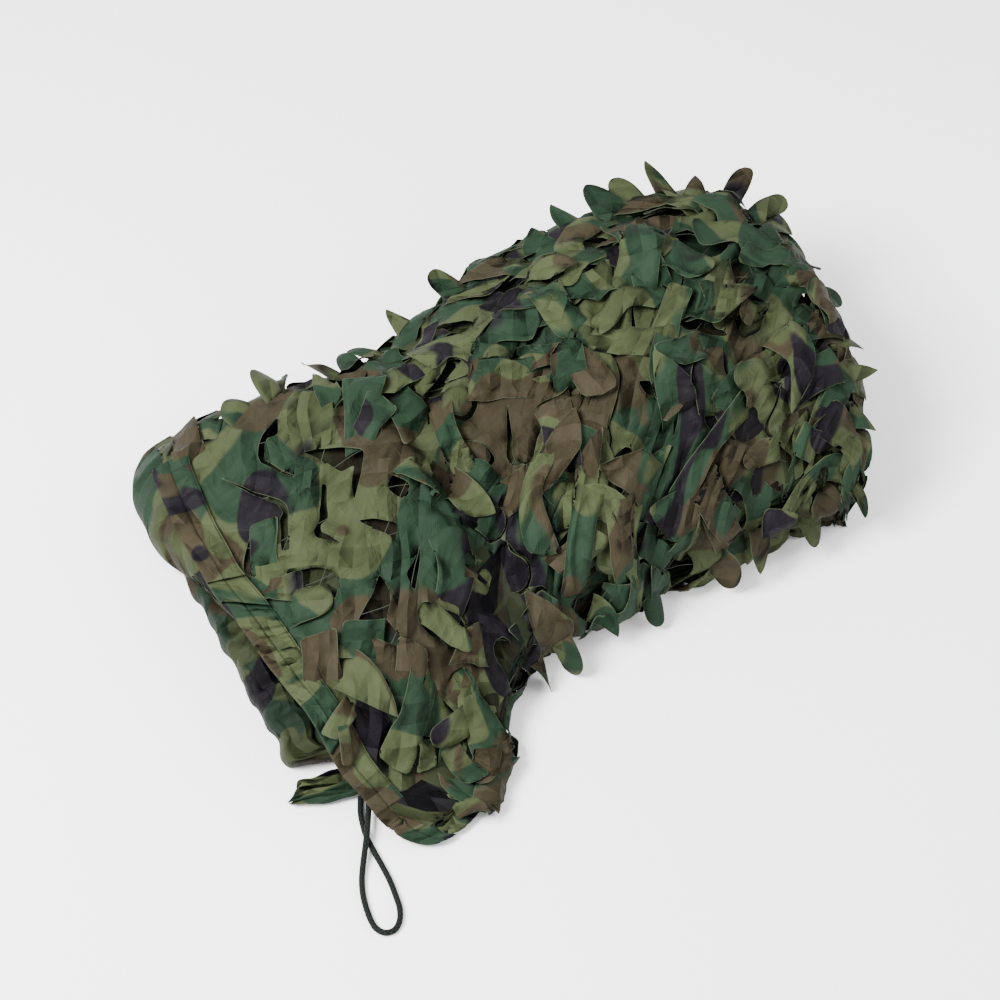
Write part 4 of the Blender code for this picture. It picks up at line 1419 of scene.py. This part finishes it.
# %% Families of leaves
FAMILY_COLUMNS = ("share", "length_low", "length_high", "width_low", "width_high", "blunt", "point",
                  "waist", "lift", "curl", "kink", "slant", "tuck_tip")
FAMILIES = {
    "tongue": (0.10, 0.044, 0.062, 0.028, 0.038, 7.0, 2.0, 0.15, 0.30, -0.30, 0.2, 0.3, 0),
    "square": (0.32, 0.042, 0.070, 0.030, 0.046, 60.0, 2.0, 0.12, 0.30, -0.30, 0.2, 0.8, 0),
    "leaf": (0.06, 0.044, 0.062, 0.030, 0.040, 1.7, 1.00, -0.05, 0.30, -0.20, 0.2, 0.2, 0),
    "strap": (0.22, 0.072, 0.112, 0.028, 0.042, 60.0, 2.0, 0.18, 0.20, -0.40, 0.2, 0.2, 1),
    "kinked": (0.24, 0.078, 0.112, 0.026, 0.036, 60.0, 2.0, 0.08, 0.20, -0.34, 0.9, 0.7, 0),
    "folded": (0.07, 0.038, 0.056, 0.024, 0.034, 6.0, 2.0, 0.05, 0.80, -1.70, 0.0, 0.2, 0),
}
SAME_CLOTH, PRINT_SLIP, PRINT_SPAN = 0.62, 0.012, 9.0
print("families:", list(FAMILIES))


# %% [markdown]
# The leaves' places are drawn at random over the skin, from a fixed seed. Where the cloth
# lies smooth, most of them are left out again. Simulated leaves would fall more truly, but
# each run would have to settle hundreds of them.


# %% Loose leaves
# LEAF_SHADES is painted shade: leaves laid first lie lowest and are darkest, those laid last are brightest.
LEAF_PLACES, LEAF_SHADES, LEAF_FULLNESS = 310, (0.90, 0.20), (0.30, 1.3)
FAR_END_FLAT = 0.8


def loose_leaves(count, seed, density):
    """Random leaves on the skin, kept with a chance density(a, b), each from one family.

    Most come from the cloth just under them, so their print runs on from it. The rest are
    from plies further in, and show any part of the print.
    """
    rng = np.random.default_rng(seed)
    a, b = rng.uniform(0.05, SKIN_LENGTH, count), rng.uniform(-0.33, 0.33, count)
    low, high = foot_limits(a)
    keep = (rng.uniform(0.0, 1.0, count) < density(a, b)) & (b > low + 0.004) & (b < high - 0.004)
    a, b = a[keep], b[keep]
    n = len(a)
    table = np.array(list(FAMILIES.values()))
    chosen = table[rng.choice(len(table), n, p=table[:, 0] / table[:, 0].sum())]
    family = dict(zip(FAMILY_COLUMNS, chosen.T))
    longer, wider = (family[way + "_high"] - family[way + "_low"] for way in ("length", "width"))
    length = family["length_low"] + rng.uniform(0.0, 1.0, n) * longer
    heading = rng.uniform(0.0, 2.0 * math.pi, n)
    t = {
        "a": a - 0.5 * length * np.cos(heading), "b": b - 0.5 * length * np.sin(heading),
        "base": np.zeros(n), "heading": heading, "length": length,
        "width": family["width_low"] + rng.uniform(0.0, 1.0, n) * wider,
        "bend": rng.normal(0.0, 0.32, n), "blunt": family["blunt"] * rng.uniform(0.7, 1.4, n),
        "point": family["point"] * rng.uniform(0.9, 1.1, n),
        "waist": family["waist"] + rng.normal(0.0, 0.10, n),
        "lift": family["lift"] * rng.uniform(0.4, 1.6, n),
        "curl": family["curl"] * rng.uniform(0.5, 1.5, n),
        "twist": np.clip(rng.normal(0.0, 0.45, n), -0.5, 0.5), "roll": rng.normal(0.0, 0.22, n),
        "cup": rng.normal(0.03, 0.22, n), "kink": family["kink"] * rng.choice([-1.0, 1.0], n),
        "slant": family["slant"] * np.clip(rng.normal(0.0, 1.0, n), -1.1, 1.1),
    }
    same = rng.uniform(0.0, 1.0, n) < SAME_CLOTH
    turn = np.where(same, heading, rng.uniform(0.0, 2.0 * math.pi, n))
    shifts = [np.where(same, t[way] + start + rng.normal(0.0, PRINT_SLIP, n),
                       rng.uniform(0.0, PRINT_SPAN, n)) for way, start in zip("ab", PRINT_START)]
    return t, stacked(turn, *shifts), family["tuck_tip"] > 0.5


def leaf_density(a, b):
    """How likely a leaf is: rare over the smooth cloth near the hem and in the waist's valley."""
    near_slope = 0.6 * ease(-b, 0.15, 0.03) * ease(a, 0.06, 0.02)
    return np.maximum(ease(a, 0.14, 0.09), near_slope) * (1.0 - 0.7 * waist_valley(a, b))


leaves, leaf_print, tucked = loose_leaves(LEAF_PLACES, 51, leaf_density)
laid_later = np.linspace(0.0, 1.0, len(tucked))
far_end = ease(leaves["b"], 0.06, 0.06) * ease(leaves["a"], 0.48, 0.06)
leaf_full = (LEAF_FULLNESS[0] + LEAF_FULLNESS[1] * laid_later**2) * (1.0 - FAR_END_FLAT * far_end)
leaf_pile = lay_leaves("loose_leaves", leaves, leaf_print, 52, LEAF_SHADES[0] + LEAF_SHADES[1] * laid_later,
                       leaf_full, tucked)
print("loose leaves:", len(tucked), "highest pile, mm:", np.round(pile.max() * 1000, 1))


# %% [markdown]
# ## Border tapes
#
# Both free edges of the folded net are bound with tape of the same print, stitched down
# along its two sides. On the real net the tape is about 25 mm wide. The upper one follows
# the hem of the top ply. Where the net is folded over, the tape folds over too: it makes two
# flat pleats, in which it runs back under itself, and below them it is gathered. A strip
# along a plain curve couldn't turn back, so its run is listed: where its two sides are
# across the bundle, and how high it lies.


# %% The upper tape
TAPE_RUN = np.array([
    # outer_b, inner_b, height
    (0.197, 0.191, 0.0040),
    (0.084, 0.080, 0.0046),
    (0.072, 0.062, 0.0100),
    (0.058, 0.043, 0.0106),
    (0.070, 0.056, 0.0070),
    (0.050, 0.034, 0.0076),
    (0.036, 0.005, 0.0066),
    (0.054, 0.024, 0.0036),
    (0.030, 0.002, 0.0020),
    (0.020, 0.000, 0.0034),
    (-0.118, -0.110, 0.0036),
    (-0.134, -0.122, 0.0056),
    (-0.121, -0.110, 0.0036),
    (-0.150, -0.150, 0.0026),
    (-0.170, -0.172, 0.0036),
    (-0.256, -0.262, 0.0036),
])
TAPE_STEP = 0.0016
TAPE_ACROSS = np.array([-0.55, -0.40, -0.26, -0.12, -0.08, -0.04, 0.0, 0.06, 0.14, 0.24, 0.34, 0.40,
                        0.43, 0.46, 0.54, 0.64, 0.74, 0.84, 0.91, 0.95, 0.98, 1.0])
TAPE_CLOTH, TAPE_SLANT = 0.027, 0.75
SEAMS, SEAM_WIDTH, SEAM_SHADE, SEAM_DEPTH = (0.43, 0.95), 0.018, 0.45, 0.0005
TAPE_THICKNESS, TAPE_ROUND, TURN_SHARE = 0.0010, 0.0013, 0.12
GATHER_PLACE, GATHER_SPREAD, GATHER_HEIGHT, GATHER_SIZE = -0.045, 0.055, 0.0017, 0.0105


def tape_print(run, across, shift):
    """The tape's UV map: lengths along and across it, turned, because it's cut on the slant."""
    return stacked(run * math.cos(TAPE_SLANT) - across * math.sin(TAPE_SLANT) + shift[0],
                   run * math.sin(TAPE_SLANT) + across * math.cos(TAPE_SLANT) + shift[1])


def near_seam(across):
    """1 on a seam and 0 away from it."""
    return np.max([bell(across - seam, SEAM_WIDTH) for seam in SEAMS], axis=0)


table_row = np.arange(len(TAPE_RUN))
tape_lengths = np.abs(np.diff(TAPE_RUN[:, :2], axis=0)).max(axis=1)
tape_counts = np.maximum(3, np.rint(tape_lengths / TAPE_STEP).astype(int))
tape_places = np.concatenate([k + np.arange(n) / n for k, n in enumerate(tape_counts)] + [table_row[-1:]])
outer_b, inner_b, tape_level = read_path(tape_places, table_row, TAPE_RUN).T[..., None]
across = TAPE_ACROSS[None, :]
inside = np.clip(across, 0.0, 1.0)
tape_b = outer_b + (inner_b - outer_b) * inside
outer_a, inner_a = read_table(TAPE_LINE, tape_b), read_table(TAPE_LINE, tape_b, 2)
turned = np.clip(-across / TURN_SHARE, 0.0, 1.0) * math.pi
tape_a = outer_a + (inner_a - outer_a) * inside - TAPE_ROUND * np.sin(turned)
tape_a = tape_a + np.clip(-across - TURN_SHARE, 0.0, 1.0) * TAPE_CLOTH
run = run_of(outer_b)[:, None]
gathered = bell(outer_b - GATHER_PLACE, GATHER_SPREAD) + 0.25
crosswise = waves(run, 0.25 * inside * TAPE_CLOTH, GATHER_SIZE, 81, 4)
ripple = GATHER_HEIGHT * gathered * (crosswise + 0.8) * (0.30 + 0.70 * np.sin(math.pi * inside * 0.9))
tape_h = tape_level + ripple - TAPE_ROUND * (1.0 - np.cos(turned)) - SEAM_DEPTH * near_seam(across)
tape_h = np.maximum(tape_h + 0.0006 * (inside < SEAMS[0]), 0.0010) - 0.0018 * (across < -0.08)
top_points = keep_in_box(on_skin(tape_a, tape_b, tape_h))
top_uv = tape_print(run, across * TAPE_CLOTH, (5.0, 5.3))
top_tape = make_piece("hem_tape_top", top_points, top_uv, hem_cloth,
                      shade=1.0 - (1.0 - SEAM_SHADE) * near_seam(across), thickness=TAPE_THICKNESS)
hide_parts("border_tape_top")
np.maximum.at(pile, pile_cells(tape_a[:, 6:], tape_b[:, 6:]), tape_h[:, 6:] + TAPE_THICKNESS)


# %% [markdown]
# Over the smooth cloth near the hem there are few tongues, and each one shows. They are
# listed one by one: where the hinge is, which way the tongue points, and how it is cut.


# %% Tongues listed one by one
LAID_COLUMNS = ("a", "b", "heading", "length", "width", "blunt", "point", "lift", "curl", "waist", "shift")
LAID = np.array([
    # a,  b, heading, length, width, blunt, point, lift, curl, waist, shift  (mm and degrees)
    (12, 27, -38, 40, 25, 50, 2.0, 8, -10, 0.10, 1),
    (22, 35, 58, 52, 26, 50, 2.0, 6, -6, 0.10, 2),
    (17, -6, -28, 46, 31, 5, 2.2, 10, -14, 0.00, 10.4),
    (72, -90, 139, 42, 35, 50, 2.0, 12, -16, 0.05, 10.2),
    (9, -90, 62, 50, 34, 50, 2.0, 8, -8, 0.05, 5),
    (59, -151, 51, 55, 32, 50, 2.0, 10, -14, 0.05, 6),
    (114, -94, -69, 66, 21, 5, 2.0, 14, -14, 0.00, 7),
    (172, 25, -81, 62, 25, 2.0, 1.15, 16, -20, 0.00, 8),
    (201, -19, -67, 68, 30, 2.2, 1.2, 16, -20, 0.00, 9),
    (31, -83, -70, 66, 35, 1.8, 1.05, 16, -16, 0.00, 10),
    (100, -130, -148, 84, 34, 50, 2.0, 8, -10, 0.10, 11),
    (70, -176, -126, 26, 20, 50, 2.0, 8, -8, 0.00, 12),
    (116, -198, 158, 52, 26, 4, 2.0, 22, -26, 0.00, 13),
    (114, -222, -155, 46, 22, 4, 2.0, 24, -22, 0.00, 14),
    (84, -196, -100, 44, 20, 50, 2.0, 16, -10, 0.00, 15),
    (36, -238, -38, 27, 15, 50, 2.0, 16, 26, 0.00, 10.1),
    (26, -112, -160, 34, 18, 50, 2.0, 14, -20, 0.05, 17),
    (28, 176, 84, 50, 32, 50, 2.0, 6, -6, 0.00, 1.05),
    (157, 112, 84, 46, 24, 2.0, 1.2, 26, -16, 0.00, 19),
    (120, 178, 30, 44, 24, 2.2, 1.2, 26, -14, 0.00, 20),
    (88, 178, 110, 36, 26, 5, 2.0, 20, -16, 0.00, 21),
    (150, 60, 20, 44, 28, 50, 2.0, 14, -16, 0.10, 22),
    (10, -112, -109, 40, 10, 50, 2.0, 8, -10, 0.00, 10.15),
], dtype=float)
ROUGHLY = {"bend": 0.15, "twist": 0.20, "roll": 0.10, "cup": 0.12, "kink": 0.10, "slant": 0.15}
PRINT_STEPS = (0.173, 0.337)


def listed_tongues(table, names, base, seed, roughly):
    """Tongues from a table in millimetres and degrees, each bent a little at random."""
    rng = np.random.default_rng(seed)
    t = {name: column.copy() for name, column in zip(names, table.T)}
    for name in ("a", "b", "length", "width"):
        t[name] /= 1000.0
    for name in ("heading", "lift", "curl"):
        t[name] = np.radians(t[name])
    t["base"] = np.full(len(table), base)
    for name, amount in roughly.items():
        t[name] = rng.normal(0.0, amount, len(table))
    return t


laid = listed_tongues(LAID, LAID_COLUMNS, 0.0, 71, ROUGHLY)
laid_print = stacked(laid["heading"], laid["shift"] * PRINT_STEPS[0], laid["shift"] * PRINT_STEPS[1])
laid_piece = lay_leaves("laid_tongues", laid, laid_print, 72, np.ones(len(LAID)), np.ones(len(LAID)))


# %% [markdown]
# Round the outline, single tongues stand clear of the bundle. They are listed one by one, by
# the place of their hinge, because each shows against the surface behind it.


# %% Standing tongues
STANDING_COLUMNS = ("a", "b", "heading", "length", "width", "lift", "curl", "blunt", "point")
STANDING = np.array([
    # a,   b,  heading, length, width, lift, curl, blunt, point  (mm and degrees)
    (124, 174, 100, 36, 27, 44, -10, 5, 2.2),
    (190, 164, 110, 40, 27, 42, -10, 4, 2.0),
    (215, 170, 70, 38, 24, 46, -10, 3, 1.6),
    (290, 178, 75, 42, 26, 50, 10, 2, 1.2),
    (250, 176, 110, 36, 24, 44, 0, 4, 2.0),
    (336, 158, 95, 42, 22, 58, 20, 5, 2.2),
    (381, 148, 130, 40, 28, 30, -10, 2, 1.1),
    (413, 138, 60, 42, 30, 34, 0, 2, 1.1),
    (452, 142, 80, 44, 26, 50, 5, 2, 1.1),
    (501, 146, 100, 46, 34, 46, 10, 5, 2.2),
    (530, 150, 70, 44, 32, 50, 5, 4, 2.0),
    (571, 155, 85, 46, 26, 58, 10, 2, 1.1),
    (559, 118, 40, 40, 24, 34, 0, 2, 1.1),
    (575, 92, 30, 42, 19, 60, 10, 6, 2.2),
    (590, 68, 10, 44, 24, 56, 10, 6, 2.2),
    (594, 54, 10, 44, 36, 46, -10, 5, 2.0),
    (600, 2, 5, 44, 36, 40, -10, 5, 2.0),
    (600, 28, 0, 44, 36, 42, -10, 5, 2.0),
    (590, -34, 25, 34, 30, 32, -10, 3, 1.6),
    (593, -78, 55, 36, 32, 30, -10, 5, 2.0),
    (599, -49, 10, 42, 28, 40, 0, 4, 2.0),
    (590, -109, -10, 40, 26, 34, 0, 2, 1.1),
    (594, -145, 15, 42, 22, 42, 10, 2, 1.0),
    (594, -180, -15, 42, 28, 34, 0, 2, 1.1),
    (612, -236, -30, 42, 26, 40, 0, 5, 2.0),
    (560, -262, -80, 40, 28, 36, 0, 5, 2.0),
    (496, -255, -100, 40, 26, 44, 0, 2, 1.2),
    (439, -255, -60, 42, 26, 40, 0, 5, 2.0),
    (361, -228, -100, 44, 28, 50, 10, 5, 2.2),
    (284, -212, -60, 40, 26, 40, 0, 2, 1.2),
    (235, -200, -90, 42, 24, 50, 0, 5, 2.0),
    (205, -205, -120, 38, 24, 46, 0, 2, 1.2),
], dtype=float)
STANDING_ROUGHLY = {"bend": 0.3, "waist": 0.08, "twist": 0.35, "roll": 0.15, "cup": 0.22, "kink": 0.15,
                    "slant": 0.15}
STANDING_BASE, STANDING_SHADE = 0.004, 0.95

standing = listed_tongues(STANDING, STANDING_COLUMNS, STANDING_BASE, 61, STANDING_ROUGHLY)
stand_a, stand_b, stand_h, stand_flat, stand_edge = tongue_points(standing, LEAF_STATIONS, LEAF_ACROSS)
stand_points = keep_in_box(on_skin(stand_a, stand_b, np.maximum(stand_h, LOWEST)))
stand_uv = stand_flat + np.random.default_rng(62).uniform(0.0, PRINT_SPAN, (len(STANDING), 1, 1, 2))
standing_piece = make_piece("standing_tongues", stand_points, stand_uv, leaf_cloth,
                            cut_edge=stand_edge, shade=STANDING_SHADE, thickness=CLOTH_THICKNESS)


# %% [markdown]
# The lower tape follows the hem of the bottom ply. It shows as a narrow band below the fold,
# so it's worked out from the part's own hem table. Across it, `s` runs from its inner seam to
# its outer edge at 1, and from there a quarter circle turns it down around the cloth's edge.
# Its gathers are waves along the tape that die out towards the outer edge. They are real
# shape and not bump, because they show against the surface.


# %% The lower tape
TAPE_WIDTH, TURN_DOWN, TURN_REACH = 0.025, 0.12, 0.004
LOW_SPAN, LOW_COUNT, LOW_LEVEL = (-0.665, 0.985), 200, 0.2275
# LOW_SHADE is painted shade: the low band lies in shade under the fold.
LOW_UNEVEN, LOW_RAISED, LOW_SHADE = 0.0024, 0.0022, 0.55
LOW_GATHERS, LOW_GATHER_SIZE = (0.0014, 0.0024), 0.020

low_v = np.linspace(*LOW_SPAN, LOW_COUNT)[:, None]
s = np.concatenate((np.linspace(0.0, 1.0, 11), 1.0 + TURN_DOWN * np.array([1.0, 2.0, 3.0]) / 3.0))[None, :]
around = np.clip((s - 1.0) / TURN_DOWN, 0.0, 1.0) * math.pi / 2.0
low_x = (read_table(LOW_HEM, low_v) + LOW_UNEVEN * waves(low_v * 0.25, 0.0 * low_v, 0.055, 87)
         + np.clip(1.0 - s, 0.0, 1.0) * TAPE_WIDTH - TURN_REACH * np.sin(around))
low_points = lay(low_x, low_v, LOW_LEVEL * read_table(EDGE, np.abs(low_v)) * np.cos(around))
low_run = run_of(low_points[:, 5])
low_along = low_run[:, None]
low_gathers = LOW_GATHERS[0] + LOW_GATHERS[1] * bell(low_along - 0.20, 0.08)
ripple = waves(low_along, 0.15 * s * TAPE_WIDTH, LOW_GATHER_SIZE, 82) + 0.9
ripple = ripple * (0.35 + 0.65 * np.sin(math.pi * np.clip(s, 0.0, 1.0)))
low_points = keep_in_box(low_points + stacked(0.0, 0.0, LOW_RAISED + low_gathers * ripple))
low_uv = tape_print(low_along, s * TAPE_WIDTH, (7.0, 7.0))
low_tape = make_piece("hem_tape_low", low_points, low_uv, hem_cloth, shade=LOW_SHADE,
                      thickness=TAPE_THICKNESS)
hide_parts("border_tape_low")
print("low tape length", round(float(low_run[-1]), 3))


# %% [markdown]
# ## The fold at the far side of the hem
#
# Between the two tapes, the outer ply of the middle layers comes round the fold. Along the far
# half it stands out past the upper tape as a smooth, rounded flap. The plies' own fold lies
# too far in to show as it, so the flap is a piece of its own. It's a half-oval carried along
# the fold: `x` goes out by its cosine, and the level from top to bottom by its sine.


# %% The outer fold
FOLD_LINE = np.array([
    # v,   furthest out
    (0.40, -0.303), (0.48, -0.309), (0.56, -0.314), (0.62, -0.3165), (0.70, -0.316), (0.80, -0.311),
    (0.90, -0.304), (0.97, -0.296), (1.03, -0.286), (1.07, -0.274)])
FOLD_IN, FOLD_MIDDLE, FOLD_RISE, FOLD_POWER = 0.012, 0.46, 0.40, 0.7
FOLD_WIDTH, FOLD_DEPTH = 0.23, 0.022    # metres of cloth for one step of v, and for one radian
fold_v = np.linspace(0.40, 1.07, 90)[:, None]
fold_turn = np.linspace(math.radians(100.0), math.radians(-95.0), 26)[None, :]
fold_inner = np.maximum(read_table(TOP_HEM, fold_v), read_table(FOLD_LINE, fold_v)) + FOLD_IN
fold_out = np.sign(np.cos(fold_turn)) * np.abs(np.cos(fold_turn)) ** FOLD_POWER
fold_x = fold_inner + (read_table(FOLD_LINE, fold_v) - fold_inner) * fold_out
fold_waves = waves(fold_v * FOLD_WIDTH, fold_turn * 0.02, 0.040, 91)
fold_x = fold_x + 0.0014 * fold_waves * np.clip(fold_out, 0.0, 1.0)
fold_rise = FOLD_RISE * (1.0 - 0.35 * ease(fold_v, 0.95, 0.12) - 0.30 * ease(-fold_v, -0.50, 0.10))
fold_points = keep_in_box(lay(fold_x, fold_v, FOLD_MIDDLE + fold_rise * np.sin(fold_turn)))
outer_fold = make_piece("outer_fold", fold_points,
                        stacked(fold_v * FOLD_WIDTH + 3.4, fold_turn * FOLD_DEPTH + 1.2), hem_cloth,
                        shade=0.85, thickness=CLOTH_THICKNESS)


# %% [markdown]
# ## The pleated corner
#
# At the near corner the border is drawn together by the cord and lies on the surface in
# pleats, with its points outwards. It is a small sheet between two listed edges, folded in
# zigzags across, because gathered cloth between two seams can only fold that way.


# %% The corner's cloth
CORNER = np.array([
    # share, left_x,  left_y,  right_x, right_y, height
    (0.0, -0.308, -0.1203, -0.299, -0.150, 0.0070),
    (0.2, -0.316, -0.1168, -0.309, -0.150, 0.0066),
    (0.4, -0.329, -0.1150, -0.321, -0.146, 0.0058),
    (0.6, -0.341, -0.1090, -0.335, -0.141, 0.0046),
    (0.8, -0.349, -0.1170, -0.346, -0.132, 0.0036),
    (1.0, -0.355, -0.1220, -0.354, -0.126, 0.0030),
])
PLEATS, PLEAT_REACH, CORNER_RAISED, CORNER_THICKNESS = 3.0, 0.010, 0.0012, 0.0008
corner_s = np.linspace(0.0, 1.0, 30)[:, None]
corner_e = np.linspace(0.0, 1.0, 43)[None, :]
left_x, left_y, right_x, right_y, corner_z = (read_table(CORNER, corner_s, c) for c in range(1, 6))
zigzag = np.abs(((corner_e * PLEATS + 0.15 * corner_s + 0.2) % 1.0) * 2.0 - 1.0)
outwards = PLEAT_REACH * ease(corner_s * 1.4) * (zigzag - 0.5)
corner_points = stacked(left_x + (right_x - left_x) * corner_e - outwards,
                        left_y + (right_y - left_y) * corner_e,
                        corner_z * (0.30 + 0.95 * zigzag) + CORNER_RAISED) - PLAN_MIDDLE
corner = make_piece("corner_pleats", corner_points, stacked(corner_s * 0.05 + 2.0, corner_e * 0.06),
                    hem_cloth, thickness=CORNER_THICKNESS)
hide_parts("net_corner")


# %% [markdown]
# ## The pieces of cloth
#
# The whole net is one sheet, and its leaves, tongues and end cloth belong to it.


print("pieces of cloth: the net, its two tapes and its corner")


# %% [markdown]
# ## Floor and light
#
# A pale seamless floor, one large soft light from the upper left as in the photograph, and a
# weaker one from the right so that the shadows stay open. Large lights are used, because
# small ones would draw a hard shadow under every leaf.


# %% Floor, lights and the world
FLOOR_HALF, FLOOR_COLOUR = 6.0, (0.95, 0.95, 0.95, 1.0)
SOFT_LIGHTS = [
    # name, place, size, power
    ("main", (-1.5, 0.3, 1.9), 1.1, 210.0),
    ("fill", (1.4, -1.2, 1.6), 1.8, 50.0),
]
SKY_COLOUR, SKY_STRENGTH = (1.0, 1.0, 1.0, 1.0), 1.5

floor_mesh = bpy.data.meshes.new("floor")
floor_corners = [(x * FLOOR_HALF, y * FLOOR_HALF, 0) for x, y in ((-1, -1), (1, -1), (1, 1), (-1, 1))]
floor_mesh.from_pydata(floor_corners, [], [(0, 1, 2, 3)])
floor_material, floor_tree, floor_shader = new_material("floor", 0.9, 0.5)
put(floor_tree, floor_shader.inputs["Base Color"], FLOOR_COLOUR)
floor_mesh.materials.append(floor_material)
floor = bpy.data.objects.new("floor", floor_mesh)
bpy.context.scene.collection.objects.link(floor)

for name, place, size, power in SOFT_LIGHTS:
    light = bpy.data.lights.new(name, "AREA")
    light.size, light.energy = size, power
    lamp = bpy.data.objects.new(name, light)
    lamp.location = place
    lamp.rotation_euler = Vector(-np.array(place)).to_track_quat("-Z", "Y").to_euler()
    bpy.context.scene.collection.objects.link(lamp)

world = bpy.data.worlds.new("world")
world.use_nodes = True
sky = world.node_tree.nodes["Background"]
sky.inputs["Color"].default_value, sky.inputs["Strength"].default_value = SKY_COLOUR, SKY_STRENGTH
bpy.context.scene.world = world
print("lights:", [name for name, _, _, _ in SOFT_LIGHTS])
